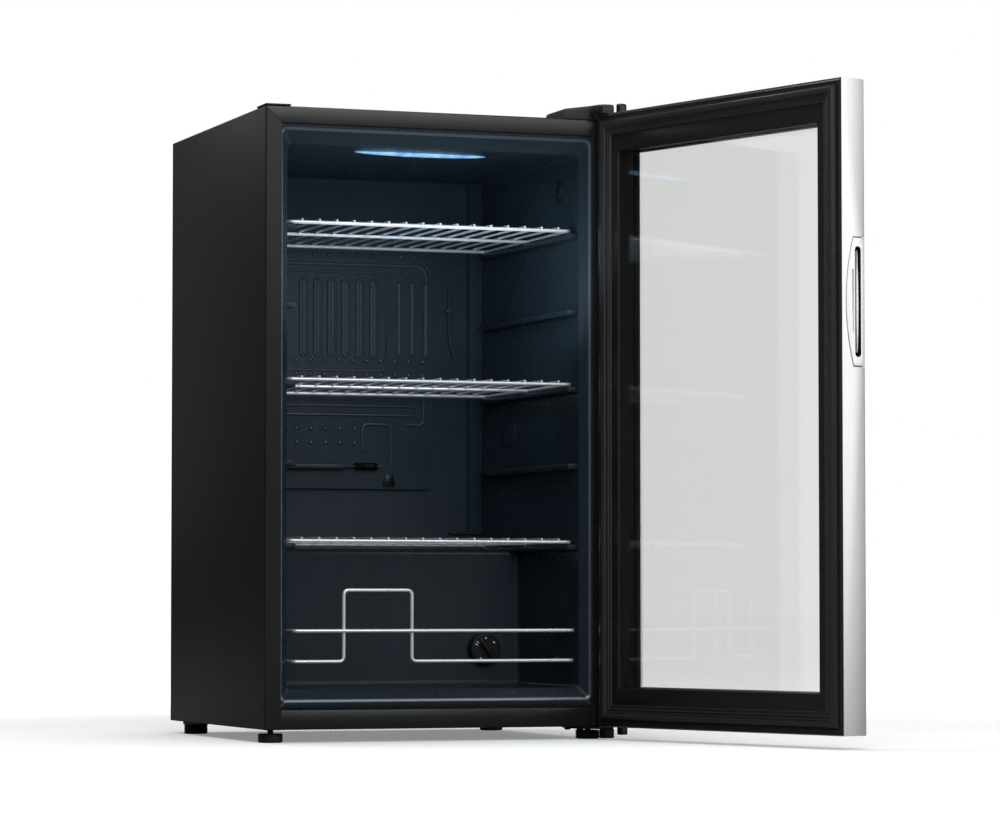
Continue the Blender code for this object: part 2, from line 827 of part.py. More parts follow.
# ---------------------------------------------------------------- compressor bay and condenser
def make_compressor(cab, black, steel, rubber, plastic):
    reach = HALF_W - SHEET - GAP
    plate_top = PAN_Z + 0.0016
    base = box((-reach, 0.2848, PAN_Z), (reach, 0.4555, plate_top))
    mount = add("compressor_mount_plate", base, steel, cab)
    tab = box((-0.1750, 0.4535, 0.0180), (-0.1250, 0.4555, 0.0620))
    join(mount, add("cord_tab", tab, None, cab, helper=True))
    hole = cylinder(CORD_EXIT, 0.0082, 0.02, "Y", 16)
    cut(mount, add("cord_hole", hole, None, cab, helper=True))
    radius = POT_R
    low, high = POT_Z
    half = (high - low) / 2
    steps = 10
    profile = []
    for i in range(steps + 1):
        angle = math.pi * (i / steps - 0.5)
        reach_r = radius * max(math.cos(angle), 0.0) ** 0.45
        profile.append((reach_r, low + half + half * math.sin(angle)))
    profile[0] = (0.0, low)
    profile[-1] = (0.0, high)
    pot = add("compressor", turned(profile, COMPRESSOR, 28), black, cab, smooth=True)
    lugs = box(
        (COMPRESSOR.x - 0.0850, COMPRESSOR.y - 0.0530, 0.0290),
        (COMPRESSOR.x + 0.0850, COMPRESSOR.y + 0.0530, 0.0312),
    )
    join(pot, add("compressor_lugs", lugs, None, cab, helper=True))
    places = [(a, b) for a in mirrored(0.0740) for b in mirrored(0.0430)]
    for i, (dx, dy) in enumerate(places):
        profile = [
            (0.0, plate_top + GAP),
            (0.0085, plate_top + GAP),
            (0.0070, 0.0240),
            (0.0080, 0.0290 - GAP),
            (0.0, 0.0290 - GAP),
        ]
        body = turned(profile, (COMPRESSOR.x + dx, COMPRESSOR.y + dy, 0.0), 14)
        add(f"compressor_grommet_{i + 1}", body, rubber, cab, smooth=True)
    side = COMPRESSOR.x - radius
    add(
        "relay_cover",
        rounded_box((side - 0.0330, 0.3450, 0.0750), (side - 0.0006, 0.3990, 0.1350), 0.004, 1),
        plastic,
        cab,
    )
    tray = add(
        "drip_tray",
        box(
            (COMPRESSOR.x - 0.0620, COMPRESSOR.y - 0.0480, high + GAP),
            (COMPRESSOR.x + 0.0620, COMPRESSOR.y + 0.0480, high + 0.0260),
        ),
        plastic,
        cab,
    )
    basin = box(
        (COMPRESSOR.x - 0.0600, COMPRESSOR.y - 0.0460, high + 0.0022),
        (COMPRESSOR.x + 0.0600, COMPRESSOR.y + 0.0460, high + 0.0400),
    )
    cut(tray, add("tray_basin", basin, None, cab, helper=True))
    gland = [
        (0.0, -0.0110),
        (0.0060, -0.0110),
        (0.0078, -0.0015),
        (0.0078, 0.0016),
        (0.0105, 0.0018),
        (0.0105, 0.0045),
        (0.0070, 0.0120),
        (0.0, 0.0120),
    ]
    body = turned(gland, (0, 0, 0), 16)
    turn = Matrix.Translation(CORD_EXIT) @ Matrix.Rotation(math.radians(-90), 4, "X")
    bmesh.ops.transform(body, matrix=turn, verts=body.verts)
    add("power_inlet_gland", body, rubber, cab, smooth=True)


def make_condenser(cab, black, copper):
    runs = 10
    low = 0.2800
    pitch = 0.0530
    reach = 0.1850
    bend = pitch / 2
    path = [(-0.1200, 0.4300, 0.1760), (-0.1200, 0.4620, 0.1800), (-0.1350, COIL_Y, 0.2100)]
    path.append((-reach - bend * 0.9, COIL_Y, low - 0.0180))
    for i in range(runs):
        z = low + i * pitch
        way = 1 if i % 2 == 0 else -1
        path.append((-way * reach, COIL_Y, z))
        path.append((way * reach, COIL_Y, z))
        if i == runs - 1:
            break
        for k in range(1, 5):
            angle = math.pi * k / 5 - math.pi / 2
            x = way * (reach + bend * math.cos(angle))
            path.append((x, COIL_Y, z + bend + bend * math.sin(angle)))
    add("condenser_coil", tube(path, COIL_R, detail=1), black, cab, smooth=True)
    for side, x in (("left", -0.1500), ("right", 0.1500)):
        outline = [
            (x - 0.0080, 0.4588),
            (x + 0.0080, 0.4588),
            (x + 0.0060, 0.4661),
            (x - 0.0060, 0.4661),
        ]
        add(f"condenser_bracket_{side}", prism(outline, "Z", 0.2600, 0.7800), black, cab)
    profile = [
        (0.0, 0.0600),
        (0.0025, 0.0600),
        (0.0090, 0.0720),
        (0.0090, 0.1580),
        (0.0025, 0.1720),
        (0.0, 0.1720),
    ]
    add("filter_drier", turned(profile, (-0.1200, 0.4300, 0.0), 16), copper, cab, smooth=True)


# ---------------------------------------------------------------- door, drawn shut
def door_ring(half_out, low_out, high_out, half_in, low_in, high_in, y0, y1):
    """The block of a rectangular ring and the block that is cut from its middle."""
    outer = box((-half_out, y0, low_out), (half_out, y1, high_out))
    inner = box((-half_in, y0 - 0.02, low_in), (half_in, y1 + 0.02, high_in))
    return outer, inner


def pin_bores(door, name):
    bores = bmesh.new()
    add_cylinder(bores, (HINGE.x, HINGE.y, DOOR_TOP), PIN_R + GAP, 0.0480, "Z", 16)
    add_cylinder(bores, (HINGE.x, HINGE.y, DOOR_BOTTOM), PIN_R + GAP, 0.0480, "Z", 16)
    return add(name, bores, None, door, helper=True)


def handle_outline(grow):
    """The D-shaped face of the grip insert: straight at the door front, bowed at the back."""
    low = HANDLE_Z[0] - grow
    high = HANDLE_Z[1] + grow
    middle = (low + high) / 2
    half = (high - low) / 2
    points = []
    steps = 10
    for i in range(steps + 1):
        t = i / steps * 2 - 1
        bow = -0.0270 + 0.0122 * (1 - t * t) + grow
        points.append((bow, middle + half * t))
    front = DOOR_OUTER_Y + 0.0003 - grow * 8
    return [(front, low)] + points + [(front, high)]


def make_door(door, silver, grip_finish, plastic, rubber, glass):
    wall = 0.0018
    lip_y = DOOR_OUTER_Y + 0.0042
    low, high = DOOR_GLASS_Z
    block = rounded_box(
        (-HALF_W, DOOR_OUTER_Y, DOOR_BOTTOM), (HALF_W, DOOR_INNER_Y - 0.0018, DOOR_TOP), 0.0015, 1
    )
    outer = add("door_outer_frame", block, silver, door)
    room = box(
        (-HALF_W + wall, lip_y, DOOR_BOTTOM + wall), (HALF_W - wall, 0.02, DOOR_TOP - wall)
    )
    view = box((-SKIN_VIEW_X, -0.10, SKIN_VIEW_Z[0]), (SKIN_VIEW_X, 0.02, SKIN_VIEW_Z[1]))
    pocket = add(
        "outer_pocket", prism(handle_outline(GAP), "X", -0.26, -0.21), None, door, helper=True
    )
    cut(
        outer,
        add("outer_room", room, None, door, helper=True),
        add("outer_view", view, None, door, helper=True),
        pocket,
        pin_bores(door, "outer_bores"),
    )
    gap = wall + GAP
    block, view = door_ring(
        HALF_W - gap,
        DOOR_BOTTOM + gap,
        DOOR_TOP - gap,
        DOOR_GLASS_X,
        low,
        high,
        lip_y + GAP,
        DOOR_INNER_Y,
    )
    inner = add("door_inner_frame", block, plastic, door)
    rebate = box((-0.2145, -0.06, low - 0.0185), (0.2145, -0.0153, high + 0.0185))
    inner_pocket = add(
        "inner_pocket", prism(handle_outline(GAP), "X", -0.26, -0.2210), None, door, helper=True
    )
    cut(
        inner,
        add("inner_view", view, None, door, helper=True),
        add("inner_rebate", rebate, None, door, helper=True),
        inner_pocket,
        pin_bores(door, "inner_bores"),
    )
    block, view = door_ring(
        0.2315, 0.0240, 0.8310, 0.2060, 0.0500, 0.8050, DOOR_INNER_Y + GAP, -GAP
    )
    gasket = add("door_gasket", block, rubber, door)
    cut(gasket, add("gasket_view", view, None, door, helper=True))
    pane = (0.2140, low - 0.0180, high + 0.0180)
    for name, y0, y1 in (
        ("door_outer_glass", lip_y + GAP, -0.0382),
        ("door_inner_glass", -0.0195, -0.0156),
    ):
        body = box((-pane[0], y0, pane[1]), (pane[0], y1, pane[2]))
        add(name, body, glass, door)
    block, view = door_ring(
        0.2120, pane[1] + 0.002, pane[2] - 0.002, 0.2000, low - 0.004, high + 0.004, -0.0379, -0.0198
    )
    spacer = add("door_glass_spacer", block, plastic, door)
    cut(spacer, add("spacer_view", view, None, door, helper=True))
    grip = add(
        "door_handle",
        prism(handle_outline(0.0), "X", -HALF_W + 0.0003, -0.2214),
        grip_finish,
        door,
        smooth=True,
    )
    slot = rounded_box((-0.26, -0.0397, 0.4890), (-0.2245, -0.0296, 0.6280), 0.0035, 2)
    cut(grip, add("grip_slot", slot, None, door, helper=True))
    for name, z0, z1 in (
        ("door_top_cap", DOOR_TOP + GAP, CAP_Z[1]),
        ("door_bottom_cap", CAP_Z[0], DOOR_BOTTOM - GAP),
    ):
        body = box((0.2245, -0.0463, z0), (0.2345, -0.0322, z1))
        upright = [e for e in body.edges if abs(e.verts[0].co.z - e.verts[1].co.z) > 0.001]
        bmesh.ops.bevel(body, geom=upright, offset=0.004, segments=3, profile=0.5, affect="EDGES")
        add(name, body, plastic, door, smooth=True)


# ---------------------------------------------------------------- assembly
def footprint_middle():
    """The middle of the box that the cabinet, its condenser and the open door fill."""
    turn = Matrix.Rotation(DOOR_OPEN, 3, "Z")
    edge = [
        HINGE + turn @ (Vector((-HALF_W, y, 0.0)) - HINGE) for y in (DOOR_INNER_Y, DOOR_OUTER_Y)
    ]
    right = max(p.x for p in edge)
    front = min(p.y for p in edge)
    back = COIL_Y + COIL_R
    return Vector(((right - HALF_W) / 2, (front + back) / 2, 0.0))


def main():
    clear_scene()
    black = material("satin_black_steel", (0.016, 0.016, 0.017), 0.38)
    steel = material("zinc_steel", (0.42, 0.43, 0.44), 0.42, metallic=1.0)
    liner = material("dark_liner", (0.012, 0.015, 0.019), 0.35)
    foam = material("foam", (0.62, 0.55, 0.35), 0.95)
    plastic = material("black_plastic", (0.014, 0.014, 0.014), 0.42)
    rubber = material("black_rubber", (0.018, 0.018, 0.018), 0.75)
    chrome = material("chrome_wire", (0.72, 0.73, 0.75), 0.12, metallic=1.0)
    copper = material("copper", (0.62, 0.30, 0.17), 0.30, metallic=1.0)
    silver = material("brushed_steel", (0.66, 0.66, 0.66), 0.28, metallic=1.0)
    grip_finish = material("silver_plastic", (0.60, 0.60, 0.60), 0.30, metallic=0.5)
    glass = material("glass", (0.90, 0.92, 0.92), 0.03, transmission=1.0)
    white = material("white_plastic", (0.80, 0.80, 0.80), 0.45)
    lens = material("lamp_lens", (0.78, 0.88, 0.92), 0.30)

    root = empty("assembly", location=-footprint_middle())
    hinge = empty("door_axis", parent=root, location=HINGE, turn=DOOR_OPEN)
    cab = Frame(root, (0, 0, 0))
    door = Frame(hinge, HINGE)

    make_shell(cab, black)
    make_front_rail(cab, black)
    make_base_pan(cab, steel)
    make_back_panel(cab, steel)
    make_bay_divider(cab, steel)
    make_liner(cab, liner)
    make_foam(cab, foam)
    make_evaporator(cab, black, copper, steel)
    make_wall_fittings(cab, plastic, steel, lens, white)
    make_light_switch(cab, plastic, plastic)
    make_thermostat(cab, plastic, steel)
    for name, z in zip(SHELF_NAMES, SHELF_Z):
        make_shelf(name, z, cab, chrome)
    make_bottle_guard(cab, chrome)
    make_top_hinge(cab, steel, plastic)
    make_bottom_hinge(cab, steel)
    make_corner_cap(cab, plastic)
    make_feet(cab, rubber)
    make_compressor(cab, black, steel, rubber, plastic)
    make_condenser(cab, black, copper)
    make_door(door, silver, grip_finish, plastic, rubber, glass)


main()
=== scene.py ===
# %% [markdown]
# A glass-door drinks fridge, step by step.
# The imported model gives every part's true size and place. Here each part gets its real edges,
# wires, ribs and finishes. The drawing frame used below has the cabinet's front at y = 0, its
# middle at x = 0 and the floor at z = 0; CABINET moves a shape from there to its place.

import math

import bmesh
import bpy
from mathutils import Matrix, Vector


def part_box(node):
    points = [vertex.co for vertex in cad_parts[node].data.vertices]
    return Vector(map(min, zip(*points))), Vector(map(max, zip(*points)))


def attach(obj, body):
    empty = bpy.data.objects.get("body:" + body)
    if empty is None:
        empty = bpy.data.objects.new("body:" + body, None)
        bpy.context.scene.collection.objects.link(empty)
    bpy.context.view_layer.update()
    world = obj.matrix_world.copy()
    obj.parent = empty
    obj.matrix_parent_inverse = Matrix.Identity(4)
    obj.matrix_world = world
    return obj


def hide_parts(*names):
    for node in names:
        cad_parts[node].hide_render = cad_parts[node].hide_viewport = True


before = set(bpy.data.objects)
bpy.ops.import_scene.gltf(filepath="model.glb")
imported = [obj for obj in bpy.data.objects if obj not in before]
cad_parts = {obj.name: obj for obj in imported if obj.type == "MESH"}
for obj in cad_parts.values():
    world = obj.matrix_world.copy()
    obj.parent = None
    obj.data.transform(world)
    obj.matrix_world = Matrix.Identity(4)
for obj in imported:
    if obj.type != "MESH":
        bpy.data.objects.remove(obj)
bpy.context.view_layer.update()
shell_low, shell_high = (Vector(corner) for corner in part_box("outer_shell"))

# %% [markdown]
# The sizes that several pieces share come first. The door is drawn shut and then turned about
# its hinge pins, so a shape drawn in the plain closed position lands on the open door.

# %% Shared sizes
HALF_W = 0.240
DEPTH = 0.460
FOOT_Z = 0.017
TOP_Z = 0.833
FLANGE = 0.0225
WALL_X = 0.205
FLOOR_Z = 0.069
CEILING_Z = 0.786
BACK_Y = 0.404
HUMP_Y = 0.248
HUMP_TOP = 0.2555
HINGE = Vector((0.2325, -0.0148, 0.0))
DOOR_LOW = 0.0170
DOOR_HIGH = 0.8386
DOOR_IN = -0.0060
DOOR_OUT = -0.0465
DOOR_OPEN_DEGREES = 107.6
DOUBLES = 2e-6
SAME = 1e-5

middle = (shell_low + shell_high) / 2
CABINET = Matrix.Translation((middle.x, shell_low.y, 0.0))
OPENED = Matrix.Rotation(math.radians(DOOR_OPEN_DEGREES), 4, "Z")
DOOR = CABINET @ Matrix.Translation(HINGE) @ OPENED @ Matrix.Translation(-HINGE)
HERE = Matrix.Identity(4)
FROM_CABINET = CABINET.inverted()
FROM_DOOR = DOOR.inverted()
print("cabinet stands at", tuple(round(v, 4) for v in CABINET.translation))

# %% [markdown]
# A piece is a bmesh that becomes an object: its doubles are merged, its faces are turned
# outwards, and it is shaded smooth with sharp creases where the surface really turns.
# It then rides on the body that moves it, and hides the plain part it stands for.


# %% From bmesh to a piece
def shift(bm, matrix):
    bmesh.ops.transform(bm, matrix=matrix, verts=bm.verts)
    return bm


def turned(degrees, axis):
    return Matrix.Rotation(math.radians(degrees), 4, axis)


def to_mesh(name, bm):
    mesh = bpy.data.meshes.new(name)
    bm.to_mesh(mesh)
    bm.free()
    return mesh


def add_object(name, data):
    obj = bpy.data.objects.new(name, data)
    bpy.context.scene.collection.objects.link(obj)
    return obj


def make_piece(name, bm, finish, body="cabinet", place=CABINET, stands_for=(),
               crease=32, outward=True):
    """Turns a bmesh into a finished object that rides on its body."""
    bmesh.ops.remove_doubles(bm, verts=bm.verts, dist=DOUBLES)
    shift(bm, place)
    if outward:
        bmesh.ops.recalc_face_normals(bm, faces=bm.faces)
    mesh = to_mesh(name, bm)
    mesh.shade_smooth()
    mesh.set_sharp_from_angle(angle=math.radians(crease))
    mesh.materials.append(finish)
    obj = add_object(name, mesh)
    if stands_for:
        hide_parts(*stands_for)
    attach(obj, body)
    print(f"{name}: {len(mesh.polygons)} faces on {body}")
    return obj


def block(low, high, radius=0.0, segments=2):
    bm = bmesh.new()
    low = Vector(low)
    high = Vector(high)
    place = Matrix.Translation((low + high) / 2) @ Matrix.Diagonal((*(high - low), 1.0))
    bmesh.ops.create_cube(bm, size=1.0, matrix=place)
    if radius:
        round_edges(bm, bm.edges[:], radius, segments)
    return bm


def round_edges(bm, edges, radius, segments=2):
    bmesh.ops.bevel(bm, geom=edges, offset=radius, segments=segments, profile=0.5,
                    affect="EDGES", material=-1)


def round_sharp(bm, radius, segments=2, angle=40):
    """Rounds every edge where the faces meet more sharply than the angle."""
    limit = math.radians(angle)
    sharp = [e for e in bm.edges if len(e.link_faces) == 2 and e.calc_face_angle() > limit]
    round_edges(bm, sharp, radius, segments)
    return bm


def merge(target, *others):
    """Puts the other shapes into the first one's bmesh."""
    for other in others:
        mesh = to_mesh("merge", other)
        target.from_mesh(mesh)
        bpy.data.meshes.remove(mesh)
    return target


def plate_from(outline, axis, start, end):
    """An outline across an axis, filled and extruded from start to end along it."""
    bm = bmesh.new()
    order = {"X": (2, 0, 1), "Y": (0, 2, 1), "Z": (0, 1, 2)}[axis]
    corners = []
    for a, b in outline:
        spot = (a, b, start)
        corners.append(bm.verts.new([spot[i] for i in order]))
    grown = bmesh.ops.extrude_face_region(bm, geom=[bm.faces.new(corners)])
    step = (0.0, 0.0, end - start)
    moved = [g for g in grown["geom"] if isinstance(g, bmesh.types.BMVert)]
    bmesh.ops.translate(bm, verts=moved, vec=[step[i] for i in order])
    return bm


def lathe(profile, centre=(0, 0, 0), sides=32, axis="Z"):
    """A profile of (radius, height) spun into a closed round piece."""
    bm = bmesh.new()
    verts = [bm.verts.new((r, 0.0, z)) for r, z in profile]
    edges = [bm.edges.new(pair) for pair in zip(verts, verts[1:])]
    bmesh.ops.spin(bm, geom=verts + edges, cent=(0, 0, 0), axis=(0, 0, 1), angle=math.tau,
                   steps=sides, use_merge=True, use_duplicate=False)
    bmesh.ops.remove_doubles(bm, verts=bm.verts, dist=1e-6)
    turn = {"Z": HERE, "Y": turned(-90, "X"), "X": turned(90, "Y")}[axis]
    return shift(bm, Matrix.Translation(centre) @ turn)


def round_corners(points, radius, steps=5, closed=False):
    """A path with each corner replaced by a short parabola of the given reach."""
    points = [Vector(p) for p in points]
    path = []
    for i, here in enumerate(points):
        if not closed and i in (0, len(points) - 1):
            path.append(here)
            continue
        back = (points[i - 1] - here).normalized() * radius
        ahead = (points[(i + 1) % len(points)] - here).normalized() * radius
        for k in range(steps + 1):
            t = k / steps
            path.append(here + back * (1 - t) ** 2 + ahead * t * t)
    return path


def wire(points, radius, closed=False, detail=3):
    """A round wire or tube along a path, from a curve with a round bevel."""
    curve = bpy.data.curves.new("wire", "CURVE")
    curve.dimensions = "3D"
    curve.bevel_depth = radius
    curve.bevel_resolution = detail
    curve.use_fill_caps = not closed
    spline = curve.splines.new("POLY")
    spline.points.add(len(points) - 1)
    for slot, point in zip(spline.points, points):
        slot.co = (*point, 1.0)
    spline.use_cyclic_u = closed
    holder = bpy.data.objects.new("wire", curve)
    mesh = bpy.data.meshes.new_from_object(holder)
    bm = bmesh.new()
    bm.from_mesh(mesh)
    bpy.data.objects.remove(holder)
    bpy.data.meshes.remove(mesh)
    return bm


def carve(base, *tools):
    """Cuts closed shapes out of a closed shape."""
    objects = []
    for bm in (base, *tools):
        bmesh.ops.remove_doubles(bm, verts=bm.verts, dist=1e-6)
        bmesh.ops.recalc_face_normals(bm, faces=bm.faces)
        objects.append(add_object("carve", to_mesh("carve", bm)))
    for tool in objects[1:]:
        modifier = objects[0].modifiers.new("cut", "BOOLEAN")
        modifier.object = tool
        modifier.operation = "DIFFERENCE"
        modifier.solver = "EXACT"
    depsgraph = bpy.context.evaluated_depsgraph_get()
    mesh = bpy.data.meshes.new_from_object(objects[0].evaluated_get(depsgraph))
    result = bmesh.new()
    result.from_mesh(mesh)
    bpy.data.meshes.remove(mesh)
    for obj in objects:
        bpy.data.objects.remove(obj)
    return result


def add_ball(bm, place, radius, around, down):
    bmesh.ops.create_uvsphere(bm, u_segments=around, v_segments=down, radius=radius, matrix=place)


def slice_at(bm, spot, way, clear=False):
    """Cuts the faces along a plane, and takes away what lies past it where asked."""
    bmesh.ops.bisect_plane(bm, geom=bm.verts[:] + bm.edges[:] + bm.faces[:], plane_co=spot,
                           plane_no=way, clear_outer=clear)


def upright_edges(bm, axis):
    """The edges that run along an axis, such as the corners of a plate across it."""
    return [e for e in bm.edges if abs((e.verts[0].co - e.verts[1].co)[axis]) > 0.001]


print("helpers are ready: block, plate_from, lathe, wire, carve")

# %% [markdown]
# Real surfaces are never one flat colour. One node group makes a slow cloud and a fine grain
# from noise, another finds upward faces where dust settles. Every finish uses them with its
# own values, so paint, plastic, rubber and metal differ in scale, depth and gloss.


# %% Shared effects
def new_group(name, inputs, outputs):
    group = bpy.data.node_groups.new(name, "ShaderNodeTree")
    for label, kind, value in inputs:
        socket = group.interface.new_socket(name=label, in_out="INPUT", socket_type=kind)
        socket.default_value = value
    for label in outputs:
        group.interface.new_socket(name=label, in_out="OUTPUT", socket_type="NodeSocketFloat")
    return group, group.nodes.new("NodeGroupInput"), group.nodes.new("NodeGroupOutput")


def set_values(node, **values):
    """Underscores in a value's name stand for the spaces in its socket's."""
    for label, value in values.items():
        node.inputs[label.replace("_", " ")].default_value = value


def add_node(tree, kind, operation=None, **values):
    node = tree.nodes.new(f"ShaderNode{kind}")
    if kind == "Mix":
        node.data_type = "RGBA"
    if operation:
        node.operation = operation
    set_values(node, **values)
    return node


def noise_group():
    group, given, out = new_group(
        "cloud_and_grain",
        [("Cloud Scale", "NodeSocketFloat", 8.0), ("Grain Scale", "NodeSocketFloat", 400.0),
         ("Stretch", "NodeSocketVector", (1.0, 1.0, 1.0))],
        ["Cloud", "Grain"],
    )
    link = group.links.new
    place = add_node(group, "TexCoord")
    mapping = add_node(group, "Mapping")
    link(place.outputs["Object"], mapping.inputs["Vector"])
    link(given.outputs["Stretch"], mapping.inputs["Scale"])
    for label, source in (("Cloud", place.outputs["Object"]), ("Grain", mapping.outputs["Vector"])):
        noise = add_node(group, "TexNoise", Detail=4.0)
        link(source, noise.inputs["Vector"])
        link(given.outputs[f"{label} Scale"], noise.inputs["Scale"])
        link(noise.outputs["Fac"], out.inputs[label])
    return group


def dust_group():
    group, given, out = new_group(
        "settled_dust", [("Amount", "NodeSocketFloat", 0.1)], ["Mask"])
    link = group.links.new
    facing = add_node(group, "NewGeometry")
    split = add_node(group, "SeparateXYZ")
    upward = add_node(group, "MapRange", From_Min=0.55)
    noise = add_node(group, "TexNoise", Scale=35.0, Detail=6.0)
    place = add_node(group, "TexCoord")
    both = add_node(group, "Math", "MULTIPLY")
    amount = add_node(group, "Math", "MULTIPLY")
    link(facing.outputs["Normal"], split.inputs["Vector"])
    link(split.outputs["Z"], upward.inputs["Value"])
    link(place.outputs["Object"], noise.inputs["Vector"])
    link(upward.outputs["Result"], both.inputs[0])
    link(noise.outputs["Fac"], both.inputs[1])
    link(both.outputs["Value"], amount.inputs[0])
    link(given.outputs["Amount"], amount.inputs[1])
    link(amount.outputs["Value"], out.inputs["Mask"])
    return group


NOISE = noise_group()
DUST = dust_group()
print("shared effects:", NOISE.name, DUST.name)


# %% [markdown]
# Each finish is a Principled material with its own colour, gloss and relief. The cloud shades
# the colour, the grain moves the gloss and the bump, and dust greys the faces that look up.


# %% Finishes
DUST_COLOUR = (0.32, 0.31, 0.29, 1.0)


def new_material(name):
    """A material with nodes, its tree, the way to link in it and its main shader."""
    finish = bpy.data.materials.new(name)
    finish.use_nodes = True
    tree = finish.node_tree
    return finish, tree, tree.links.new, tree.nodes["Principled BSDF"]


def add_shared(tree, effect, **values):
    """One of the shared effects as a node in a material."""
    node = add_node(tree, "Group")
    node.node_tree = effect
    set_values(node, **values)
    return node


def make_finish(name, colour, roughness, metallic=0.0, cloud=8.0, grain=500.0,
                stretch=(1, 1, 1), bump=0.1, depth=0.0002, shade=0.12, gloss_shift=0.06,
                dust=0.0, coat=0.0, specular=0.5):
    finish, tree, link, shader = new_material(name)
    set_values(shader, Metallic=metallic, Coat_Weight=coat, Coat_Roughness=0.12,
               Specular_IOR_Level=specular)
    noise = add_shared(tree, NOISE, Cloud_Scale=cloud, Grain_Scale=grain, Stretch=stretch)
    darker = (*(c * (1 - shade) for c in colour), 1.0)
    paler = (*(min(c * (1 + shade), 1.0) for c in colour), 1.0)
    tone = add_node(tree, "Mix", A=darker, B=paler)
    link(noise.outputs["Cloud"], tone.inputs["Factor"])
    settled = add_shared(tree, DUST, Amount=dust)
    dusty = add_node(tree, "Mix", B=DUST_COLOUR)
    link(settled.outputs["Mask"], dusty.inputs["Factor"])
    link(tone.outputs["Result"], dusty.inputs["A"])
    link(dusty.outputs["Result"], shader.inputs["Base Color"])
    gloss = add_node(tree, "MapRange", To_Min=max(roughness - gloss_shift, 0.02),
                     To_Max=min(roughness + gloss_shift, 1.0))
    link(noise.outputs["Grain"], gloss.inputs["Value"])
    link(gloss.outputs["Result"], shader.inputs["Roughness"])
    relief = add_node(tree, "Bump", Strength=bump, Distance=depth)
    link(noise.outputs["Grain"], relief.inputs["Height"])
    link(relief.outputs["Normal"], shader.inputs["Normal"])
    return finish


BLACK_PAINT = make_finish("satin_black_paint", (0.0065, 0.0065, 0.0068), 0.31, grain=900,
                          bump=0.12, dust=0.03, specular=0.62)
DARK_LINER = make_finish("dark_moulded_liner", (0.0120, 0.0190, 0.0255), 0.28, grain=260,
                         bump=0.06, depth=0.0003, shade=0.2, specular=0.22)
# A paler, glossier copy of the liner finish: painted highlight lines on the lip folds and the floor's
# foot fillet.
LINER_PAINTED_HIGHLIGHT = make_finish("liner_painted_highlight", (0.045, 0.054, 0.064), 0.20, grain=260,
                         bump=0.03, shade=0.2, specular=0.9, coat=0.5)
EVAPORATOR = make_finish("coated_evaporator", (0.0130, 0.0205, 0.0280), 0.28, grain=700,
                         bump=0.08, shade=0.2, specular=0.35)
# A paler, glossier copy of the plate finish for the tops of the raised channels: painted highlight.
RIB_PAINTED_HIGHLIGHT = make_finish("rib_top_painted_highlight", (0.026, 0.034, 0.042), 0.20, grain=700, bump=0.08,
                       shade=0.2, specular=0.6)
BLACK_PLASTIC = make_finish("black_plastic", (0.010, 0.010, 0.0105), 0.34, grain=1400,
                            bump=0.25, dust=0.06)
DOOR_PLASTIC = make_finish("door_frame_plastic", (0.0115, 0.0115, 0.012), 0.27, grain=1200,
                           bump=0.15)
GASKET_RUBBER = make_finish("gasket_rubber", (0.024, 0.024, 0.0245), 0.26, grain=900,
                            bump=0.10, shade=0.2)
BLACK_RUBBER = make_finish("foot_rubber", (0.012, 0.012, 0.012), 0.62, grain=700, bump=0.3,
                           dust=0.25)
GREY_PLASTIC = make_finish("grey_collar_plastic", (0.16, 0.16, 0.165), 0.5, grain=900, bump=0.2)
CHROME = make_finish("chrome_wire", (0.92, 0.93, 0.95), 0.34, metallic=0.72, grain=1500,
                     bump=0.03, shade=0.06, gloss_shift=0.04)
STAINLESS = make_finish("brushed_stainless", (0.80, 0.80, 0.80), 0.30, metallic=1.0, cloud=3,
                        grain=2600, stretch=(1, 1, 0.012), bump=0.10, depth=0.00008,
                        shade=0.03, gloss_shift=0.07)
SILVER_PLASTIC = make_finish("silver_handle_plastic", (0.80, 0.80, 0.80), 0.26, metallic=0.55,
                             grain=1500, bump=0.06, shade=0.03)
ZINC = make_finish("zinc_plate", (0.46, 0.47, 0.49), 0.38, metallic=1.0, cloud=60, grain=900,
                   bump=0.12, shade=0.25, dust=0.05)
DARK_ZINC = make_finish("dark_plated_steel", (0.045, 0.045, 0.048), 0.36, metallic=1.0, cloud=60,
                        grain=900, bump=0.12, shade=0.25)
GALVANISED = make_finish("galvanised_sheet", (0.44, 0.46, 0.48), 0.44, metallic=1.0, cloud=90,
                         grain=420, bump=0.1, shade=0.35, dust=0.10)
COPPER = make_finish("dull_copper", (0.30, 0.17, 0.12), 0.34, metallic=1.0, cloud=50,
                     grain=900, bump=0.12, shade=0.3)
SLEEVE = make_finish("dark_sleeve", (0.022, 0.025, 0.03), 0.34, grain=900, bump=0.15)
ENAMEL = make_finish("black_enamel", (0.010, 0.010, 0.010), 0.24, grain=220, bump=0.12,
                     depth=0.0004, dust=0.22, coat=0.3)
WHITE_INK = make_finish("white_ink", (0.75, 0.75, 0.75), 0.5, grain=1800, bump=0.1)
WHITE_BOARD = make_finish("white_board", (0.75, 0.76, 0.77), 0.45, grain=900, bump=0.1)
FOAM = make_finish("rigid_foam", (0.62, 0.55, 0.35), 0.9, grain=300, bump=0.6)
# The spacer's own black, also used as painted shade on the core's faces round the glass and inside
# the grip's slot.
SPACER_BLACK_AND_SHADE = make_finish("spacer_black_and_painted_shade", (0.006, 0.006, 0.006), 0.50, grain=800,
                           bump=0.08, specular=0.08)
print(len(bpy.data.materials), "materials so far")


# %% [markdown]
# Glass keeps plain transmission. Light Path lets lamp light go straight through it, as a thin
# pane does, because ray-traced shadows would otherwise leave the floor behind it black.


